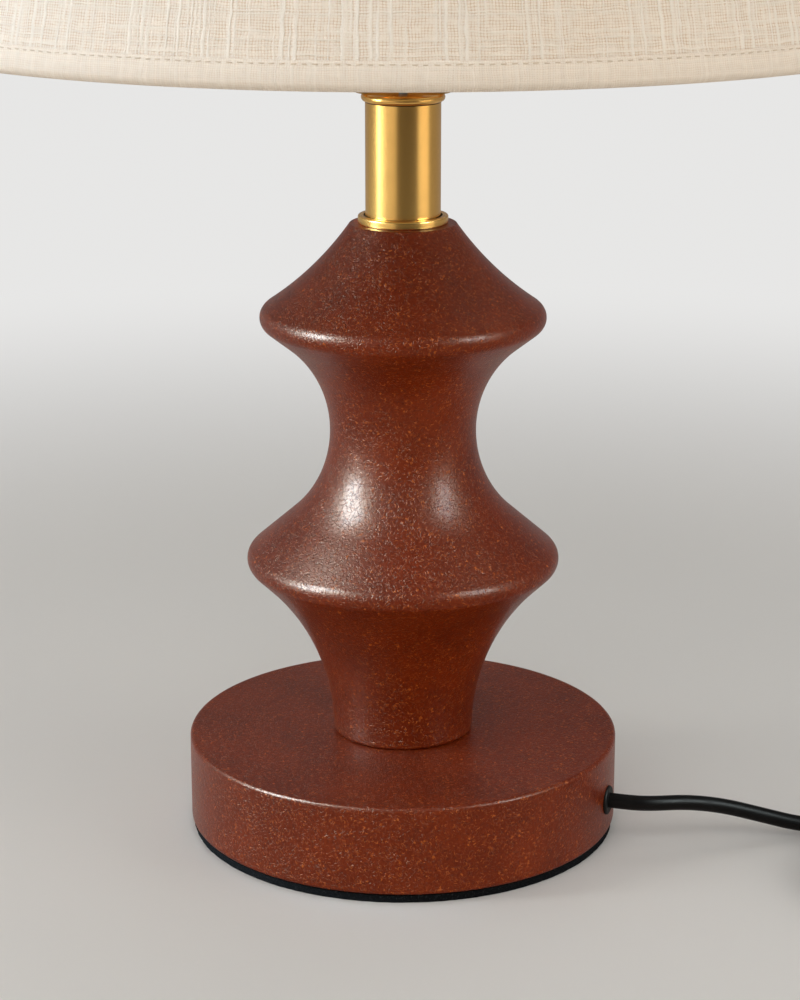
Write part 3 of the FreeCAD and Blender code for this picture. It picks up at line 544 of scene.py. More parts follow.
def new_group(name, inputs, outputs):
    """A shader node group with named inputs and outputs: (name, type, default) and (name, type)."""
    group = bpy.data.node_groups.new(name, "ShaderNodeTree")
    kinds = {"float": "NodeSocketFloat", "vector": "NodeSocketVector"}
    for label, kind, default in inputs:
        socket = group.interface.new_socket(label, in_out="INPUT", socket_type=kinds[kind])
        if default is not None:
            socket.default_value = default
    for label, kind in outputs:
        group.interface.new_socket(label, in_out="OUTPUT", socket_type=kinds[kind])
    nodes = Nodes(group)
    source = nodes.add("NodeGroupInput").outputs
    result = nodes.add("NodeGroupOutput").inputs
    return group, nodes, source, result


FIBRE_LAYERS = (
    ((0.3, 0.2, 0.4), 1.0),
    ((1.2, 0.7, 1.5), 1.12),
    ((2.1, 1.4, 0.2), 0.88),
    ((0.6, 2.2, 2.6), 1.25),
)


def fibre_group():
    """Short curled fibres with a tone of their own, dark seams between them, specks and pits."""
    group, nodes, source, result = new_group(
        "short fibres",
        [("Vector", "vector", None), ("Curl", "float", 0.0019), ("Width", "float", 0.00014)],
        [(label, "float") for label in ("Fibre", "Tone", "Seam", "Speck", "Pit")],
    )
    per_metre = nodes.math("DIVIDE", 1.0, source["Curl"])
    reach = nodes.times(nodes.times(source["Width"], per_metre), 0.62)
    at = nodes.scaled(source["Vector"], per_metre)
    fibre, tone, seam = None, None, None
    for turn, size in FIBRE_LAYERS:
        place = tuple(9 * angle for angle in turn)
        turned = nodes.mapping(at, scale=(size, size, size), rotation=turn, place=place)
        curl = nodes.noise(turned, 1.0, 0.0)
        off_line = nodes.math("ABSOLUTE", nodes.math("SUBTRACT", curl, 0.5))
        line = nodes.ramp(nodes.math("DIVIDE", off_line, reach), 1.3, 0.5)
        distance, draw = nodes.cells(turned, 1.25)
        line = nodes.times(line, nodes.ramp(distance, 0.58, 0.40))
        one = nodes.times(line, nodes.ramp(draw["Red"], 0.50, 0.56))
        pale = nodes.times(one, nodes.math("POWER", draw["Green"], 4.4))
        gap = nodes.times(line, nodes.ramp(draw["Red"], 0.30, 0.24))
        fibre = one if fibre is None else nodes.greater(fibre, one)
        tone = pale if tone is None else nodes.greater(tone, pale)
        seam = gap if seam is None else nodes.greater(seam, gap)
    nodes.put(result["Fibre"], fibre)
    nodes.put(result["Tone"], tone)
    nodes.put(result["Seam"], seam)
    for label, density, low, high in (("Speck", 0.95, 0.84, 0.90), ("Pit", 0.50, 0.90, 0.93)):
        distance, draw = nodes.cells(nodes.scaled(at, density), 1.0)
        dot = nodes.ramp(distance, 0.15 * density, 0.06 * density)
        nodes.put(result[label], nodes.times(dot, nodes.ramp(draw["Blue"], low, high)))
    return group


def grain_group():
    """A fine grain for moulded, rubber, felt and frosted glass surfaces."""
    group, nodes, source, result = new_group(
        "fine grain",
        [("Vector", "vector", None), ("Scale", "float", 2000.0)],
        [("Grain", "float"), ("Cloud", "float")],
    )
    nodes.put(result["Grain"], nodes.noise(source["Vector"], source["Scale"], 3.0, 0.6))
    broad = nodes.times(source["Scale"], 0.04)
    nodes.put(result["Cloud"], nodes.noise(source["Vector"], broad, 3.0, 0.55))
    return group


def weave_group():
    """A plain weave on a cloth's own UV map, in metres: threads, slubs and the gaps between."""
    group, nodes, source, result = new_group(
        "linen weave",
        [("Vector", "vector", None), ("Pitch", "float", 0.0007), ("Slubs", "float", 1.0)],
        [("Height", "float"), ("Slub", "float"), ("Gap", "float"), ("Tone", "float")],
    )
    wander = nodes.noise(source["Vector"], 170.0, 2.0, out="Color")
    wander = nodes.vectors("SUBTRACT", wander, (0.5, 0.5, 0.5))
    cloth = nodes.vectors("ADD", source["Vector"], nodes.scaled(wander, 0.0014))
    threads = nodes.scaled(cloth, nodes.math("DIVIDE", 1.0, source["Pitch"]))
    split = nodes.add("ShaderNodeSeparateXYZ", {"Vector": threads}).outputs
    warp = nodes.math("ABSOLUTE", nodes.math("SINE", nodes.times(split["X"], math.pi)))
    weft = nodes.math("ABSOLUTE", nodes.math("SINE", nodes.times(split["Y"], math.pi)))
    column = nodes.math("FLOOR", split["X"])
    row = nodes.math("FLOOR", split["Y"])
    odd = nodes.math("FLOORED_MODULO", nodes.plus(column, row), 2.0)
    over = nodes.times(warp, nodes.ramp(odd, 0, 1, 0.70, 1.0, smooth=False))
    under = nodes.times(weft, nodes.ramp(odd, 0, 1, 1.0, 0.70, smooth=False))
    yarn = nodes.greater(over, under)
    open_weave = nodes.noise(nodes.mapping(source["Vector"], scale=(300, 420, 1)), 1.0, 2.0)
    gap = nodes.ramp(nodes.times(warp, weft), 0.42, 0.02)
    gap = nodes.times(gap, nodes.ramp(open_weave, 0.20, 0.66))
    slub = None
    for wide, axis, share, strength, run in (
        (2.1, "X", 0.58, 0.9, (620, 30, 1)),
        (1.3, "X", 0.60, 0.6, (900, 60, 1)),
        (1.9, "Y", 0.76, 0.5, (52, 560, 1)),
        (1.2, "Y", 0.74, 0.5, (95, 800, 1)),
    ):
        place = nodes.math("DIVIDE", split[axis], wide)
        number = nodes.plus(nodes.math("FLOOR", place), 431.0 * wide)
        draw = nodes.random(number)
        crown = nodes.math("ABSOLUTE", nodes.math("SINE", nodes.times(place, math.pi)))
        runs = nodes.noise(nodes.mapping(source["Vector"], scale=run), 1.0, 1.0)
        one = nodes.times(nodes.ramp(crown, 0.35, 1.0), nodes.ramp(draw, share, share + 0.12))
        one = nodes.times(one, nodes.ramp(runs, 0.38, 0.56, 0, strength))
        slub = one if slub is None else nodes.greater(slub, one)
    slub = nodes.times(slub, source["Slubs"])
    height = nodes.plus(nodes.times(yarn, 0.45), nodes.times(slub, 0.85))
    fuzz = nodes.noise(source["Vector"], 2600.0, 2.0)
    height = nodes.plus(height, nodes.times(fuzz, 0.35))
    nodes.put(result["Height"], height)
    nodes.put(result["Slub"], slub)
    nodes.put(result["Gap"], nodes.times(gap, nodes.math("SUBTRACT", 1.0, slub)))
    each = nodes.plus(nodes.random(column), nodes.random(row))
    drift = nodes.noise(nodes.mapping(source["Vector"], scale=(260, 240, 1)), 1.0, 3.0, 0.6)
    nodes.put(result["Tone"], nodes.plus(nodes.times(each, 0.25), nodes.times(drift, 0.5)))
    return group


def brushing_group():
    """Fine brushed lines round the lamp's axis or along it."""
    group, nodes, source, result = new_group(
        "brushing",
        [("Vector", "vector", None), ("Across", "float", 5200.0), ("Along", "float", 90.0)],
        [("Line", "float"), ("Cloud", "float")],
    )
    split = nodes.add("ShaderNodeSeparateXYZ", {"Vector": source["Vector"]}).outputs
    stretched = nodes.add(
        "ShaderNodeCombineXYZ",
        {
            "X": nodes.times(split["X"], source["Along"]),
            "Y": nodes.times(split["Y"], source["Along"]),
            "Z": nodes.times(split["Z"], source["Across"]),
        },
    ).outputs[0]
    nodes.put(result["Line"], nodes.noise(stretched, 1.0, 3.0, 0.65))
    nodes.put(result["Cloud"], nodes.noise(source["Vector"], 70.0, 3.0, 0.6))
    return group


GROUPS = {}


def shared(name):
    """A shared node group, built the first time that it is asked for."""
    builders = {
        "fibres": fibre_group, "grain": grain_group, "weave": weave_group, "brushing": brushing_group,
    }
    if name not in GROUPS:
        GROUPS[name] = builders[name]()
    return GROUPS[name]


def new_material(name, **finish):
    """A material with a Principled surface, its tree helper and its coordinates."""
    material = bpy.data.materials.new(name)
    material.use_nodes = True
    nodes = Nodes(material.node_tree)
    surface = material.node_tree.nodes["Principled BSDF"]
    for key, value in finish.items():
        nodes.put(surface.inputs[key.replace("_", " ")], value)
    place = nodes.add("ShaderNodeTexCoord").outputs
    return material, nodes, surface, place


def bump(nodes, surface, height, strength, distance):
    """Feed a height into the surface's normal."""
    node = nodes.add("ShaderNodeBump", {"Height": height, "Strength": strength, "Distance": distance})
    nodes.put(surface.inputs["Normal"], node.outputs["Normal"])


def fibreboard_material(name, settings, turn):
    """Lacquered wood fibre: warm clouds, short curled fibres, specks, pits and a satin coat."""
    material, nodes, surface, place = new_material(
        name, Coat_Weight=0.05, Coat_Roughness=0.18, Coat_IOR=1.5, Specular_IOR_Level=0.26,
        Specular_Tint=LACQUER_TINT,
    )
    at = nodes.mapping(place["Object"], rotation=(0, 0, turn))
    fibres = nodes.group(
        "fibres", {"Vector": at, "Curl": settings.curl_size, "Width": settings.fibre_width}
    )
    cloud = nodes.noise(at, 30.0, 3.0, 0.6)
    mottle = nodes.noise(at, 900.0, 3.0, 0.6, 0.4)
    dark = nodes.plus(nodes.times(cloud, 0.5), nodes.times(mottle, 0.5))
    colour = nodes.mix(nodes.ramp(dark, 0.32, 0.68), settings.shade_colour[:], settings.wood_colour[:])
    seam = nodes.times(fibres["Seam"], 0.35)
    colour = nodes.mix(seam, colour, tuple(c * 0.4 for c in settings.shade_colour))
    tone = nodes.times(fibres["Tone"], 0.70)
    tone = nodes.plus(tone, nodes.times(fibres["Fibre"], 0.12))
    colour = nodes.mix(tone, colour, settings.fleck_colour[:])
    colour = nodes.mix(nodes.times(fibres["Speck"], 0.6), colour, (0.74, 0.26, 0.06))
    colour = nodes.mix(fibres["Pit"], colour, (0.018, 0.006, 0.004))
    nodes.put(surface.inputs["Base Color"], colour)
    nodes.put(surface.inputs["Roughness"], nodes.ramp(mottle, 0.3, 0.7, 0.32, 0.40, smooth=False))
    raised = nodes.math("SUBTRACT", fibres["Fibre"], fibres["Seam"])
    height = nodes.plus(nodes.times(mottle, 0.7), nodes.times(raised, 0.5))
    height = nodes.math("SUBTRACT", height, nodes.times(fibres["Pit"], 1.6))
    bump(nodes, surface, height, 1.0, 0.00016)
    return material


def felt_material(settings):
    """Black felt with paler hairs."""
    material, nodes, surface, place = new_material(
        "black felt", Roughness=1.0, Specular_IOR_Level=0.05
    )
    grain = nodes.group("grain", {"Vector": place["Object"], "Scale": 1700.0})
    hair = nodes.ramp(grain["Grain"], 0.52, 0.72)
    colour = nodes.mix(hair, settings.felt_colour[:], (0.034, 0.034, 0.036))
    nodes.put(surface.inputs["Base Color"], colour)
    bump(nodes, surface, grain["Grain"], 0.9, 0.0006)
    return material


def brushed_material(name, colour, roughness, across=5200.0, along=90.0):
    """Satin metal with fine lines round the axis and faint darker clouds."""
    material, nodes, surface, place = new_material(name, Metallic=1.0)
    lines = nodes.group(
        "brushing", {"Vector": place["Object"], "Across": across, "Along": along}
    )
    deep = tuple(c * 0.74 for c in colour)
    cloud = nodes.ramp(lines["Cloud"], 0.42, 0.72, 0, 0.6)
    line = nodes.ramp(lines["Line"], 0.35, 0.65, 0.0, 0.015)
    nodes.put(
        surface.inputs["Base Color"],
        nodes.mix(nodes.plus(nodes.times(cloud, 0.3), line), tuple(colour), deep),
    )
    nodes.put(
        surface.inputs["Roughness"],
        nodes.ramp(lines["Line"], 0.25, 0.75, roughness - 0.003, roughness + 0.003),
    )
    bump(nodes, surface, lines["Line"], 0.006, 0.00003)
    return material


def moulded_material(
    name, colour, roughness, scale=1500.0, strength=0.25, depth=0.00006, coat=0.0, shine=0.4
):
    """Rubber, plastic or paint with a fine grain and a faint change of gloss."""
    material, nodes, surface, place = new_material(
        name, Coat_Weight=coat, Specular_IOR_Level=shine, Specular_Tint=PLASTIC_TINT,
    )
    grain = nodes.group("grain", {"Vector": place["Object"], "Scale": scale})
    paler = 1.35 - 0.4 * max(colour)
    worn = tuple(min(1, c * paler + 0.002) for c in colour)
    nodes.put(
        surface.inputs["Base Color"],
        nodes.mix(nodes.ramp(grain["Cloud"], 0.42, 0.70, 0, 0.6), tuple(colour), worn),
    )
    nodes.put(
        surface.inputs["Roughness"],
        nodes.ramp(grain["Cloud"], 0.3, 0.7, roughness - 0.05, roughness + 0.07),
    )
    bump(nodes, surface, grain["Grain"], strength, depth)
    return material


def linen_material(name, settings, slubs, hem=False):
    """Slubbed linen on the cloth's own UV map."""
    material, nodes, surface, place = new_material(
        name, Roughness=0.86, Sheen_Weight=0.12, Sheen_Roughness=0.5, Specular_IOR_Level=0.25,
    )
    pitch = settings.thread_pitch * (0.8 if hem else 1.0)
    weave = nodes.group("weave", {"Vector": place["UV"], "Pitch": pitch, "Slubs": slubs})
    colour = nodes.mix(
        nodes.ramp(weave["Tone"], 0.25, 0.75, 0, 0.55),
        settings.linen_colour[:], tuple(min(1, c * 1.14) for c in settings.linen_colour),
    )
    colour = nodes.mix(
        nodes.times(weave["Gap"], 0.40 if hem else 0.92), colour,
        settings.gap_colour[:],
    )
    colour = nodes.mix(nodes.times(weave["Slub"], 0.75), colour, settings.slub_colour[:])
    nodes.put(surface.inputs["Base Color"], colour)
    bump(nodes, surface, weave["Height"], 0.9 if hem else 1.0, 0.0003)
    return material


def globe_material():
    """Frosted white globe."""
    material, nodes, surface, place = new_material(
        "frosted globe", Transmission_Weight=0.25, IOR=1.49, Subsurface_Weight=0.3,
        Subsurface_Scale=0.01, Coat_Weight=0.2,
    )
    grain = nodes.group("grain", {"Vector": place["Object"], "Scale": 2600.0})
    nodes.put(
        surface.inputs["Base Color"],
        nodes.mix(nodes.ramp(grain["Cloud"], 0.3, 0.7), (0.84, 0.83, 0.80), (0.90, 0.90, 0.88)),
    )
    nodes.put(surface.inputs["Roughness"], nodes.ramp(grain["Grain"], 0.3, 0.7, 0.34, 0.44))
    return material


MATERIALS = {}


def finish(name):
    """A finish by its name, built the first time that it is asked for."""
    if name in MATERIALS:
        return MATERIALS[name]
    scene = bpy.context.scene
    body, metal = scene.lamp_body, scene.lamp_metal
    shade, cord = scene.lamp_shade, scene.lamp_cord
    brass, steel = metal.brass_colour[:], metal.steel_colour[:]
    makers = {
        "column wood": lambda: fibreboard_material("column wood fibre", body, 0.6),
        "base wood": lambda: fibreboard_material("base wood fibre", body, 2.1),
        "felt": lambda: felt_material(body),
        "brass": lambda: brushed_material("satin brass", brass, metal.brass_roughness),
        "brass wire": lambda: brushed_material("brass plated wire", brass, 0.30, 300.0, 300.0),
        # painted shadow for the groove and joints of the brass neck
        "groove": lambda: moulded_material("groove shadow", (0.004, 0.002, 0.001), 0.8),
        "steel": lambda: brushed_material("zinc plated steel", steel, 0.36, 900.0, 900.0),
        "aluminium": lambda: brushed_material("spun aluminium", (0.80, 0.80, 0.81), 0.30),
        "rubber": lambda: moulded_material("black rubber", (0.006, 0.006, 0.006), 0.55, shine=0.2),
        "jacket": lambda: moulded_material(
            "cord jacket", cord.jacket_colour[:], 0.42, 2600.0, 0.3, shine=0.12
        ),
        "plug": lambda: moulded_material(
            "moulded plug", cord.jacket_colour[:], 0.48, 1900.0, 0.5, shine=0.3
        ),
        "black insulation": lambda: moulded_material("black insulation", (0.02, 0.02, 0.02), 0.35),
        "white insulation": lambda: moulded_material("white insulation", (0.78, 0.78, 0.76), 0.35),
        "phenolic": lambda: moulded_material(
            "moulded phenolic", (0.028, 0.020, 0.016), 0.28, 900.0, 0.1, 0.00004, 0.3
        ),
        "liner card": lambda: moulded_material("liner card", (0.50, 0.42, 0.30), 0.85, 1300.0, 0.6),
        "white plastic": lambda: moulded_material(
            "white housing", (0.80, 0.80, 0.78), 0.38, 2200.0, 0.15
        ),
        "board": lambda: moulded_material("white board", (0.72, 0.74, 0.70), 0.45, 1200.0, 0.2),
        "globe": globe_material,
        "linen": lambda: linen_material("slubbed linen", shade, 1.0),
        "hem linen": lambda: linen_material("hem linen", shade, 0.35, hem=True),
        "thread": lambda: moulded_material("tan thread", (0.70, 0.55, 0.40), 0.85, 3000.0, 0.6),
        "lining": lambda: moulded_material("shade lining", (0.84, 0.82, 0.76), 0.55, 700.0, 0.15),
        "white wire": lambda: moulded_material("painted wire", (0.80, 0.79, 0.75), 0.40, 1500.0, 0.2),
        "tie": lambda: moulded_material("tie strap", (0.016, 0.016, 0.017), 0.9, 1300.0, 0.9, 0.0003),
    }
    MATERIALS[name] = makers[name]()
    return MATERIALS[name]


# Pieces


class LAMP_OT_stage(bpy.types.Operator):
    """Set the pale floor, the soft lights and the camera"""

    bl_idname = "lamp.make_stage"
    bl_label = "Floor, lights and camera"

    def execute(self, context):
        scene = context.scene
        stage = scene.lamp_stage
        scene.view_settings.view_transform = "Standard"

        bm = bmesh.new()
        bmesh.ops.create_circle(bm, cap_ends=True, radius=14.0, segments=96)
        floor = made(bm, "pale_floor")
        material, nodes, surface, place = new_material("pale floor", Roughness=1.0)
        nodes.put(surface.inputs["Base Color"], stage.floor_colour[:])
        nodes.put(surface.inputs["Specular IOR Level"], 0.0)
        glow = nodes.add("ShaderNodeEmission", {"Color": PALE_LIGHT})
        far = nodes.add("ShaderNodeVectorMath", operation="LENGTH")
        nodes.put(far.inputs[0], place["Object"])
        away = nodes.ramp(far.outputs["Value"], 0.35, 1.12)
        split = nodes.add("ShaderNodeSeparateXYZ", {"Vector": place["Object"]}).outputs
        self.pale_glow(nodes, glow.inputs["Strength"], nodes.ramp(split["Y"], -0.7, 0.2))
        seen = self.plain_rays(nodes)
        blend = nodes.add("ShaderNodeMixShader", {"Fac": nodes.times(away, seen)})
        nodes.put(blend.inputs[1], surface.outputs[0])
        nodes.put(blend.inputs[2], glow.outputs[0])
        output = material.node_tree.nodes["Material Output"]
        nodes.put(output.inputs["Surface"], blend.outputs[0])
        floor.data.materials.append(material)

        world = bpy.data.worlds.new("soft surroundings")
        world.use_nodes = True
        scene.world = world
        sky = Nodes(world.node_tree)
        back = world.node_tree.nodes["Background"]
        sky.put(back.inputs["Color"], PALE_LIGHT)
        way = sky.add("ShaderNodeTexCoord").outputs["Generated"]
        split = sky.add("ShaderNodeSeparateXYZ", {"Vector": way}).outputs
        behind = sky.ramp(split["Y"], -0.35, 0.30)
        low = sky.ramp(split["Z"], 0.34, 0.06, 0.25, 1.0)
        shown = sky.add("ShaderNodeMix", data_type="FLOAT").outputs["Result"]
        self.pale_glow(sky, shown.node.inputs["B"], sky.times(behind, low))
        sky.put(shown.node.inputs["Factor"], self.plain_rays(sky))
        sky.put(shown.node.inputs["A"], stage.sky_strength)
        sky.put(back.inputs["Strength"], shown)

        warm, plain, cool = (1.0, 0.955, 0.89), (1.0, 0.99, 0.975), (0.57, 0.81, 1.0)
        for name, turn, rise, size, strength, colour, shown_by in (
            ("key_light", -78, 0, (0.17, 1.3), stage.key_strength, plain, "all"),
            ("left_glow", -66, 0, (0.52, 1.2), stage.front_strength * 1.2, plain, "gloss"),
            ("front_card", -36, 0, (0.66, 0.44), stage.front_strength, plain, "gloss"),
            ("right_light", 65, 0, (0.78, 1.2), stage.right_strength, warm, "all"),
            ("back_light", 165, 38, (0.9, 0.5), 1.0, plain, "matt"),
            ("high_light", -14, 36, (1.1, 0.8), stage.high_strength, plain, "matt"),
            ("left_card", -74, 32, (0.44, 0.94), stage.card_strength * 0.90, cool, "gloss"),
            ("right_card", 60, 27, (0.38, 0.60), stage.card_strength * 0.28, cool, "gloss"),
        ):
            self.add_light(name, turn, rise, size, strength, colour, shown_by)

        lens = bpy.data.cameras.new("front camera")
        lens.sensor_width = 36.0
        lens.lens = stage.camera_lens
        lens.clip_end = 60.0
        camera = bpy.data.objects.new("front_camera", lens)
        camera.location = stage.camera_place
        camera.rotation_euler = (math.pi / 2 - stage.camera_tilt, 0, 0)
        scene.collection.objects.link(camera)
        scene.camera = camera
        return {"FINISHED"}

    def plain_rays(self, nodes):
        """One for rays from the camera, off gloss or through glass, and nought for the others."""
        rays = nodes.add("ShaderNodeLightPath").outputs
        seen = nodes.greater(rays["Is Camera Ray"], rays["Is Glossy Ray"])
        return nodes.greater(seen, rays["Is Transmission Ray"])

    def pale_glow(self, nodes, socket, pale):
        """Pale surroundings: even to the camera, darker in gloss, most of all in front."""
        in_gloss, in_front = 0.36, 0.12 * PALE_STRENGTH
        rays = nodes.add("ShaderNodeLightPath").outputs
        even = nodes.greater(rays["Is Camera Ray"], nodes.times(pale, in_gloss))
        nodes.put(socket, nodes.ramp(even, 0, 1, in_front, PALE_STRENGTH, smooth=False))

    def add_light(self, name, turn, rise, size, strength, colour, shown_by):
        """A tall soft light that faces the lamp, placed by its angle from the front. One without
        a rise stands on the floor. All surfaces show it, or only matt ones, or only gloss."""
        reach, raised, clear = 1.15, 0.22, 0.01
        middle = Vector((0, 0, raised if rise else size[1] / 2 + clear))
        turn, rise = math.radians(turn), math.radians(rise)
        away = Vector((
            math.sin(turn) * math.cos(rise), -math.cos(turn) * math.cos(rise), math.sin(rise),
        ))
        light = bpy.data.lights.new(name, "AREA")
        light.shape = "RECTANGLE"
        light.size, light.size_y = size
        light.energy = strength * math.pi * size[0] * size[1]
        light.color = colour
        lamp = bpy.data.objects.new(name, light)
        lamp.location = middle + away * reach
        lamp.rotation_euler = (-away).to_track_quat("-Z", "Y").to_euler()
        lamp.visible_camera = False
        lamp.visible_diffuse = shown_by != "gloss"
        lamp.visible_glossy = shown_by != "matt"
        bpy.context.scene.collection.objects.link(lamp)


class LAMP_OT_base(bpy.types.Operator):
    """Make the round base and the felt under it"""

    bl_idname = "lamp.make_base"
    bl_label = "Base and felt"

    def execute(self, context):
        settings = context.scene.lamp_body
        low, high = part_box("base_disc")
        radius, rounding = high.x, settings.edge_round
        hollow, web = 0.066, high.z - 0.0095
        outline = softened([
            (ROD_BORE, high.z, 0),
            (radius, high.z, rounding),
            (radius, low.z, rounding),
            (hollow, low.z, 0.0004),
            (hollow, web, 0.0004),
            (ROD_BORE, web, 0),
        ], 6)
        disc = spun("turned_base", outline, 224)
        dress(disc, "lamp", "fibreboard", "base wood", "base_disc")

        low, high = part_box("felt_pad")
        edge, fine, broad = 0.0005, 0.00022, 0.00015
        outline = softened([
            (0.0, low.z, 0), (high.x, low.z, edge), (high.x, high.z, edge), (0.0, high.z, 0),
        ], 3)
        bm = bmesh.new()
        spin_outline(bm, outline, 320, False)
        bmesh.ops.remove_doubles(bm, verts=bm.verts, dist=WELD)
        for vert in bm.verts:
            reach = Vector((vert.co.x, vert.co.y, 0))
            if reach.length > high.x - 2 * edge:
                fuzz = noise.noise(vert.co * 700) * fine + noise.noise(vert.co * 90) * broad
                vert.co += reach.normalized() * fuzz
        felt = made(bm, "felt_underside", PAD_CREASE)
        dress(felt, "lamp", "felt", "felt", "felt_pad")
        return {"FINISHED"}


class LAMP_OT_column(bpy.types.Operator):
    """Make the turned column with its two lips"""

    bl_idname = "lamp.make_column"
    bl_label = "Turned column"

    def execute(self, context):
        s = context.scene.lamp_body
        low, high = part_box("column")
        ground = low.z
        foot = Vector((s.foot_radius, ground))
        lower = Vector((s.lower_lip_radius, ground + s.lower_lip_height))
        waist = Vector((s.waist_radius, ground + s.waist_height))
        upper = Vector((s.upper_lip_radius, ground + s.upper_lip_height))
        ledge = Vector((s.ledge_radius, high.z))
        ledge_round, foot_round = 0.0008, s.foot_round
        outline = [(ROD_BORE, ground)]
        outline += arc_points(
            (s.foot_radius - foot_round, ground + foot_round), foot_round, -math.pi / 2, 0, 8
        )
        rise = flare(foot, lower, s.lower_flare, s.lip_round)
        outline += [p for p in rise[1:] if p.y > ground + 1.3 * foot_round]
        outline += flare(waist, lower, s.waist_lower_curve, s.lip_round)[::-1][1:]
        outline += flare(waist, upper, s.waist_upper_curve, s.lip_round)[1:]
        slope = shoulder(upper, s.lip_round, s.shoulder_curve, ledge)[1:]
        outline += slope[:-1]
        corner = softened([
            (*slope[-2], 0), (*ledge, ledge_round), (ROD_BORE, ledge.y, 0),
        ], 5)
        outline += corner[1:]
        column = spun("turned_column", outline, BODY_STEPS)
        dress(column, "lamp", "fibreboard", "column wood", "column")
        return {"FINISHED"}


class LAMP_OT_neck(bpy.types.Operator):
    """Make the brass flange, tube and bead under the socket"""

    bl_idname = "lamp.make_neck"
    bl_label = "Brass neck"

    def execute(self, context):
        flange_low, flange_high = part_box("neck_flange")
        tube_low, tube_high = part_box("neck_tube")
        cap_low, cap_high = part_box("neck_cap")
        wall, groove, ease = 0.0010, 0.0007, 0.00012
        spigot = tube_high.x - wall - 0.0001
        step = tube_low.z + 0.0025
        rim = flange_low.z + 0.0033
        flange = spun("brass_flange", softened([
            (ROD_BORE, flange_low.z, 0),
            (flange_high.x, flange_low.z, 0.0004),
            (flange_high.x, rim, 0.0007),
            (tube_high.x + groove, rim, ease),
            (tube_high.x + groove, tube_low.z, 0),
            (spigot, tube_low.z, 0),
            (spigot, step, ease),
            (ROD_BORE, step, 0),
        ], 5), BODY_STEPS)
        dress(flange, "lamp", "brass", "brass", "neck_flange")
        # painted shadow in the groove round the tube's foot
        self.paint_shadow_lines(flange, lambda at, r: r < tube_high.x + 1.2 * groove and at.z < rim - 0.0001)
        tube = spun("brass_tube", softened([
            (tube_high.x - wall, tube_low.z, ease),
            (tube_high.x, tube_low.z, 0.0003),
            (tube_high.x, tube_high.z, 0.0003),
            (tube_high.x - wall, tube_high.z, ease),
        ], 4), BODY_STEPS)
        dress(tube, "lamp", "brass", "brass", "neck_tube")
        # painted shadow lines along the tube's top edge and its foot
        self.paint_shadow_lines(tube, lambda at, r: at.z > tube_high.z - 0.00032 or at.z < tube_low.z + 0.0009)
        bead = (cap_high.z - tube_high.z) / 2
        outline = arc_points(
            (cap_high.x - bead, tube_high.z + bead), bead, -math.pi / 2, math.pi / 2, 14
        )
        outline += [
            (ROD_BORE, cap_high.z), (ROD_BORE, cap_low.z), (spigot, cap_low.z),
            (spigot, tube_high.z),
        ]
        cap = spun("brass_bead", outline, BODY_STEPS)
        dress(cap, "lamp", "brass", "brass", "neck_cap")
        # painted shadow under the bead where it sits on the tube
        self.paint_shadow_lines(cap, lambda at, r: at.z < tube_high.z + 0.00035 and r < cap_high.x - bead * 0.6)
        return {"FINISHED"}

    def paint_shadow_lines(self, piece, inside):
        """Paint shadow onto the faces in a narrow groove or along a joint, as a dark second material.
        """
        piece.data.materials.append(finish("groove"))
        for face in piece.data.polygons:
            if inside(face.center, math.hypot(face.center.x, face.center.y)):
                face.material_index = 1


class LAMP_OT_harp(bpy.types.Operator):
    """Make the saddle, harp, ferrules, stud and finial"""

    bl_idname = "lamp.make_harp"
    bl_label = "Harp and finial"

    def execute(self, context):
        for node, bevel in (
            ("harp_saddle", 0.0003), ("harp", 0.0), ("harp_ferrule_left", 0.0004),
            ("harp_ferrule_right", 0.0004), ("harp_stud", 0.0003),
        ):
            dress_copy(node, "brass wire", "brass", bevel)
        low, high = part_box("finial")
        ball, neck, bore = 0.008, 0.0044, 0.0032
        bore_top = low.z + 0.0147
        ball_z = high.z - ball
        joint = math.asin(neck / ball)
        outline = [(0, bore_top), (bore, bore_top), (bore, low.z)]
        rim = softened([
            (bore, low.z, 0), (high.x, low.z, 0.0004), (high.x, low.z + 0.0016, 0.0005),
            (neck, low.z + 0.0050, 0.0012), (neck, ball_z - ball * math.cos(joint), 0),
        ], 4)
        outline += rim[1:]
        outline += arc_points((0, ball_z), ball, joint - math.pi / 2, math.pi / 2, 26)[1:]
        finial = spun("ball_finial", outline, FINE_STEPS, closed=False)
        dress(finial, "finial", "brass", "brass", "finial")
        return {"FINISHED"}


class LAMP_OT_socket(bpy.types.Operator):
    """Make the socket with its switch, and the rod and nuts that hold the lamp"""

    bl_idname = "lamp.make_socket"
    bl_label = "Socket, switch and rod"

    def execute(self, context):
        for node, look, slot, bevel in (
            ("socket_cap", "brass", "brass", 0.0003),
            ("socket_shell", "brass", "brass", 0.0002),
            ("socket_liner", "liner card", "liner_card", 0.0),
            ("socket_body", "phenolic", "moulded_black", 0.0004),
            ("centre_contact", "brass wire", "brass", 0.0),
            ("terminal_screws", "brass wire", "brass", 0.0002),
            ("set_screw", "steel", "steel", 0.0002),
            ("switch_shaft", "steel", "steel", 0.0003),
            ("switch_knob", "phenolic", "moulded_black", 0.0006),
            ("threaded_rod", "steel", "steel", 0.0),
            ("base_washer", "steel", "steel", 0.0002),
            ("lock_washer", "steel", "steel", 0.0002),
            ("base_nut", "steel", "steel", 0.0004),
            ("ballast_plate", "steel", "steel", 0.0005),
        ):
            dress_copy(node, look, slot, bevel)
        self.make_screw_shell()
        return {"FINISHED"}

    def make_screw_shell(self):
        """The aluminium shell with its rolled thread."""
        low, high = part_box("screw_shell")
        depth, wall, turns, first = 0.0007, 0.0004, 6, low.z + 0.002
        outer = [(high.x, low.z), *thread_points(high.x, first, depth, turns), (high.x, high.z)]
        inner = [(radius - wall, height) for radius, height in reversed(outer)]
        shell = spun("rolled_screw_shell", outer + inner, FINE_STEPS)
        dress(shell, "lamp", "aluminium", "aluminium", "screw_shell")


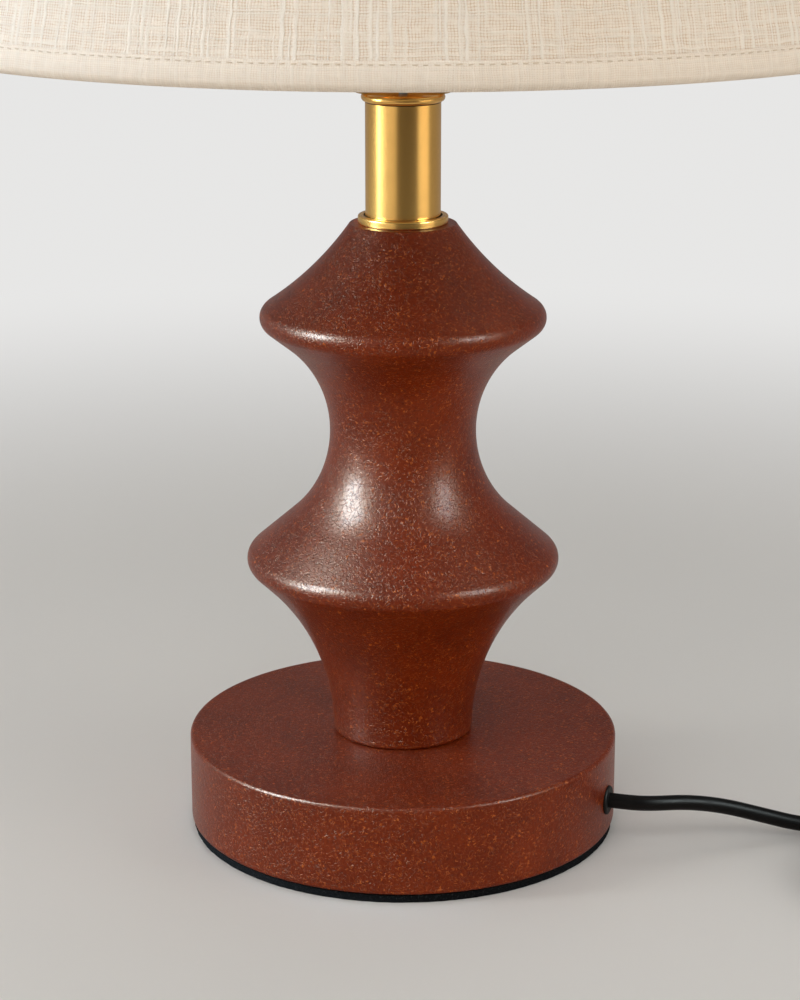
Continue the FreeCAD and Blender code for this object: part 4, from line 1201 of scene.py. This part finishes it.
class LAMP_OT_bulb(bpy.types.Operator):
    """Make the bulb"""

    bl_idname = "lamp.make_bulb"
    bl_label = "Bulb"

    def execute(self, context):
        low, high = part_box("bulb_cap")
        depth, turns, first = 0.0006, 4, low.z + 0.0066
        outline = [
            (0, low.z), (0.0028, low.z), (0.0035, low.z + 0.0005), (0.0050, low.z + 0.0020),
            (high.x - 0.0015, low.z + 0.0050), (high.x - 0.0004, low.z + 0.0057),
        ]
        outline += thread_points(high.x, first, depth, turns)
        outline += [(high.x, high.z - 0.0004), (high.x, high.z), (0, high.z)]
        cap = spun("bulb_screw_cap", outline, FINE_STEPS, closed=False)
        dress(cap, "bulb", "aluminium", "aluminium", "bulb_cap")

        low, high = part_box("bulb_body")
        radius, inner = high.x, 0.0014
        neck, collar, rest = 0.0145, low.z + 0.0442, 0.0225
        outer = softened([
            (0, low.z, 0), (neck, low.z, 0.0012), (0.0215, low.z + 0.0260, 0.020),
            (radius - 0.0015, collar, 0.0060), (radius, high.z, 0.0003),
            (radius - inner, high.z, 0.0003), (radius - 0.0015 - inner, collar, 0),
            (rest, collar, 0), (rest, collar - inner, 0),
            (0, collar - inner, 0),
        ], 6)
        body = spun("bulb_housing", outer, FINE_STEPS, closed=False)
        dress(body, "bulb", "white_plastic", "white plastic", "bulb_body")

        dress_copy("led_board", "board", "white_plastic", 0.0002)

        low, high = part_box("bulb_globe")
        wall = 0.0014
        outer = arc_points((0, low.z), high.x, 0, math.pi / 2, 26)
        inner = arc_points((0, low.z), high.x - wall, math.pi / 2, 0, 26)
        bm = bmesh.new()
        spin_outline(bm, outer, FINE_STEPS, False)
        spin_outline(bm, inner + outer[:1], FINE_STEPS, False)
        globe = made(bm, "frosted_bulb_globe")
        dress(globe, "bulb", "frosted_globe", "globe", "bulb_globe")
        return {"FINISHED"}


def cloth_map(piece, mean_radius):
    """A UV map in metres: round the lamp's axis at a mean radius, and up the cloth's outline."""
    mesh = piece.data
    layer = mesh.uv_layers.new(name="cloth").data
    for face in mesh.polygons:
        centre = math.atan2(face.center.y, face.center.x)
        for loop in face.loop_indices:
            co = mesh.vertices[mesh.loops[loop].vertex_index].co
            turn = math.atan2(co.y, co.x) - centre
            turn = (turn + math.pi) % FULL_TURN - math.pi
            layer[loop].uv = ((centre + turn) * mean_radius, co.z)


class LAMP_OT_shade(bpy.types.Operator):
    """Make the linen shade with its hems, stitches, lining and wires"""

    bl_idname = "lamp.make_shade"
    bl_label = "Linen shade"

    def execute(self, context):
        s = context.scene.lamp_shade
        bottom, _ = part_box("bottom_hem")
        _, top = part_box("top_hem")
        self.low, self.high = bottom.z, top.z
        self.low_radius, self.high_radius = s.bottom_radius, s.top_radius
        mean = (self.low_radius + self.high_radius) / 2

        hems, stitches = [], []
        for name, node, edge, up in (
            ("linen_bottom_hem", "bottom_hem", self.low, 1),
            ("linen_top_hem", "top_hem", self.high, -1),
        ):
            hem = spun(name, self.hem_outline(edge, up, s), CLOTH_STEPS)
            cloth_map(hem, mean)
            dress(hem, "shade", "linen", "hem linen", node)
            hems.append(hem)
        for name, edge, up in (("bottom_stitches", self.low, 1), ("top_stitches", self.high, -1)):
            seam = self.stitches(name, edge + up * (s.hem_height - 0.0011), s)
            dress(seam, "shade", "linen", "thread")
            stitches.append(seam)

        low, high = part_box("shade_linen")
        depth, thick = s.cloth_depth, 0.0007
        rows = 24
        levels = [low.z + (high.z - low.z) * k / rows for k in range(rows + 1)]
        outer = [(self.cone(level) - depth, level) for level in levels]
        inner = [(radius - thick, level) for radius, level in reversed(outer)]
        linen = spun("linen_cover", outer + inner, CLOTH_STEPS)
        cloth_map(linen, mean)
        dress(linen, "shade", "linen", "linen", "shade_linen")
        low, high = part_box("shade_lining")
        depth, thick = s.lining_depth, 0.0005
        lining = spun("white_lining", [
            (self.cone(low.z) - depth, low.z), (self.cone(high.z) - depth, high.z),
            (self.cone(high.z) - depth - thick, high.z), (self.cone(low.z) - depth - thick, low.z),
        ], CLOTH_STEPS)
        dress(lining, "shade", "lining", "lining", "shade_lining")
        for node in ("shade_bottom_ring", "shade_spider"):
            dress_copy(node, "white wire", "white_wire")
        return {"FINISHED"}

    def cone(self, height):
        """The outer radius of the shade at a height."""
        share = (height - self.low) / (self.high - self.low)
        return self.low_radius + share * (self.high_radius - self.low_radius)

    def hem_outline(self, edge, up, s):
        """The closed outline of a hem that wraps an edge of the shade and its wire."""
        depth, cloth = s.hem_depth, 0.0008
        far, turn = edge + up * s.hem_height, edge + up * depth / 2
        mid = self.cone(turn) - depth / 2
        rolled = arc_points((mid, turn), depth / 2, 0, -up * math.pi, 14)
        hollow = arc_points((mid, turn), depth / 2 - cloth, -up * math.pi, 0, 14)
        outer, ease = self.cone(far), 0.0004
        eased = [(outer - 0.0003, far), (self.cone(far - up * ease), far - up * ease)]
        folded = [(outer - depth, far), (outer - depth + cloth, far)]
        return [*eased, *rolled, *folded, *hollow, (outer - cloth, far)]

    def stitches(self, name, height, s):
        """A row of short stitches round the shade."""
        radius, thread = self.cone(height), 0.00042
        count = round(FULL_TURN * radius / s.stitch_pitch)
        bm = bmesh.new()
        draw = random.Random(7)
        for k in range(count):
            made_now = bmesh.ops.create_cube(bm, size=1.0)["verts"]
            size = Matrix.Diagonal((s.stitch_length * draw.uniform(0.85, 1.1), thread, thread, 1))
            lean = Matrix.Rotation(draw.uniform(-0.12, 0.12), 4, "Y")
            put = Matrix.Translation((0, -radius, height + draw.uniform(-0.0001, 0.0001)))
            turn = Matrix.Rotation(FULL_TURN * (k + draw.uniform(-0.05, 0.05)) / count, 4, "Z")
            bmesh.ops.transform(bm, matrix=turn @ put @ lean @ size, verts=made_now)
        bmesh.ops.bevel(
            bm, geom=bm.edges[:], offset=0.00012, segments=1, profile=0.5, affect="EDGES",
            material=-1,
        )
        return made(bm, name, math.radians(80))


class LAMP_OT_cord(bpy.types.Operator):
    """Make the mains cord, its bush, its tie and its plug"""

    bl_idname = "lamp.make_cord"
    bl_label = "Cord and plug"

    def execute(self, context):
        s = context.scene.lamp_cord
        tie = dress_copy("coil_tie", "tie", "cord_jacket", 0.0002)
        plug = self.make_plug()
        dress_node("plug_blades", "brass wire")
        route = [*CORD_LEAVE, *self.coil(), *CORD_TAIL]
        curve = bpy.data.curves.new("mains_cord", "CURVE")
        curve.dimensions = "3D"
        curve.bevel_depth = s.diameter / 2
        curve.bevel_resolution = 5
        curve.resolution_u = 8
        curve.use_fill_caps = True
        line = curve.splines.new("NURBS")
        line.points.add(len(route) - 1)
        for point, place in zip(line.points, route):
            point.co = (*place, 1)
        line.order_u = 3
        line.use_endpoint_u = True
        cord = bpy.data.objects.new("mains_cord", curve)
        bpy.context.scene.collection.objects.link(cord)
        dress(cord, "lamp", "cord_jacket", "jacket", "cord_run", "cord_coil", "cord_tail")
        dress_copy("cord_grommet", "rubber", "rubber", 0.0)
        dress_copy("cord_stop", "phenolic", "moulded_black", 0.0004)
        dress_copy("inner_cord", "jacket", "cord_jacket")
        dress_copy("live_wire", "black insulation", "live_insulation")
        dress_copy("neutral_wire", "white insulation", "neutral_insulation")
        return {"FINISHED"}

    def coil(self):
        """The coil's points: in on the floor, up one layer, and out again on top."""
        reach = 1 / math.cos(math.pi / POINTS_PER_HALF / 2)
        levels = [COIL_OUTER - k * COIL_PITCH / 2 for k in range(COIL_HALVES_IN + 1)]
        inner = levels[-1]
        levels.append(inner - COIL_CLIMB_IN)
        levels += [inner + k * COIL_PITCH / 2 for k in range(1, COIL_HALVES_OUT + 1)]
        points = []
        for half, (start, end) in enumerate(zip(levels, levels[1:])):
            for k in range(POINTS_PER_HALF):
                share = (k + 0.5) / POINTS_PER_HALF
                angle = math.pi / 2 - math.pi * (half + share)
                radius = (start + (end - start) * share) * reach
                if half < COIL_HALVES_IN:
                    rise = 0.0
                elif half > COIL_HALVES_IN:
                    rise = 1.0
                else:
                    rise = share * share * (3 - 2 * share)
                points.append((
                    COIL_CENTRE[0] + radius * math.cos(angle),
                    COIL_CENTRE[1] + radius * math.sin(angle),
                    COIL_LOW + COIL_PITCH * rise,
                ))
        return points

    def make_plug(self):
        """The moulded plug with grip ribs and a ribbed strain relief, lying on its side face."""
        low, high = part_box("plug_body")
        heading = Vector((-0.0007, 0.0080, 0)).normalized()
        entry = Vector((CORD_TAIL[-1][0], CORD_TAIL[-1][1], (low.z + high.z) / 2))
        relief, length, width, height = 0.024, 0.024, 0.025, high.z - low.z
        rib_depth, first_rib, rib_pitch = 0.0006, 0.0085, 0.0026
        bm = bmesh.new()
        block = bmesh.ops.create_cube(bm, size=1.0)["verts"]
        bmesh.ops.scale(bm, vec=(length, width, height - 0.0008), verts=block)
        bmesh.ops.translate(bm, vec=(relief + length / 2, 0, 0), verts=block)
        back = [e for e in bm.edges if all(v.co.x < relief + 0.001 for v in e.verts)
                and abs(e.verts[0].co.z - e.verts[1].co.z) > height / 2]
        bmesh.ops.bevel(
            bm, geom=back, offset=0.0072, segments=3, profile=0.5, affect="EDGES", material=-1
        )
        bmesh.ops.bevel(
            bm, geom=bm.edges[:], offset=0.0022, segments=3, profile=0.5, affect="EDGES",
            material=-1, clamp_overlap=True,
        )
        for k in range(5):
            for side in (-1, 1):
                rib = bmesh.ops.create_cube(bm, size=1.0)["verts"]
                along = relief + first_rib + k * rib_pitch
                bmesh.ops.scale(bm, vec=(0.0011, width * 0.55, 2 * rib_depth), verts=rib)
                bmesh.ops.translate(bm, vec=(along, 0, side * (height / 2 - rib_depth)), verts=rib)
        tip, end, ribs = 0.0042, 0.0062, 7
        outline = [(0.0, 0.0), (tip, 0.0)]
        for k in range(ribs):
            share = k / ribs
            radius = tip + (end - tip) * share
            start = relief * share
            outline += [
                (radius, start + 0.0004), (radius + 0.0002, start + 0.0021),
                (radius - 0.0006, start + 0.0024), (radius - 0.0006, start + 0.0031),
            ]
        outline += [(end, relief + 0.001), (0.0, relief + 0.001)]
        before = set(bm.verts)
        spin_outline(bm, outline, 40, False)
        turned = [v for v in bm.verts if v not in before]
        bmesh.ops.rotate(bm, cent=(0, 0, 0), matrix=Matrix.Rotation(math.pi / 2, 3, "Y"), verts=turned)
        turn = Matrix.Rotation(math.atan2(heading.y, heading.x), 4, "Z")
        bmesh.ops.transform(bm, matrix=Matrix.Translation(entry) @ turn, verts=bm.verts)
        plug = made(bm, "moulded_plug")
        return dress(plug, "lamp", "cord_jacket", "plug", "plug_body")


OPERATORS = (
    LAMP_OT_stage, LAMP_OT_cord, LAMP_OT_base, LAMP_OT_column, LAMP_OT_neck, LAMP_OT_harp,
    LAMP_OT_socket, LAMP_OT_bulb, LAMP_OT_shade,
)
SETTINGS = {
    "lamp_body": LampBodySettings, "lamp_metal": LampMetalSettings, "lamp_shade": LampShadeSettings,
    "lamp_cord": LampCordSettings, "lamp_stage": LampStageSettings,
}


class LAMP_PT_panel(bpy.types.Panel):
    """The lamp's pieces in the sidebar"""

    bl_idname = "LAMP_PT_panel"
    bl_label = "Turned table lamp"
    bl_space_type = "VIEW_3D"
    bl_region_type = "UI"
    bl_category = "Lamp"

    def draw(self, context):
        for operator in OPERATORS:
            self.layout.operator(operator.bl_idname)
        for name, group in SETTINGS.items():
            box = self.layout.box()
            for key in group.__annotations__:
                box.prop(getattr(context.scene, name), key)


def register():
    """Add the settings, the operators and the panel."""
    for name, group in SETTINGS.items():
        bpy.utils.register_class(group)
        setattr(bpy.types.Scene, name, PointerProperty(type=group))
    for operator in OPERATORS:
        bpy.utils.register_class(operator)
    bpy.utils.register_class(LAMP_PT_panel)


def unregister():
    """Take the panel, the operators and the settings away again."""
    bpy.utils.unregister_class(LAMP_PT_panel)
    for operator in reversed(OPERATORS):
        bpy.utils.unregister_class(operator)
    for name, group in SETTINGS.items():
        delattr(bpy.types.Scene, name)
        bpy.utils.unregister_class(group)


def main():
    """Make every piece in order."""
    register()
    bpy.ops.lamp.make_stage()
    bpy.ops.lamp.make_cord()
    bpy.ops.lamp.make_base()
    bpy.ops.lamp.make_column()
    bpy.ops.lamp.make_neck()
    bpy.ops.lamp.make_harp()
    bpy.ops.lamp.make_socket()
    bpy.ops.lamp.make_bulb()
    bpy.ops.lamp.make_shade()


if __name__ == "__main__":
    main()
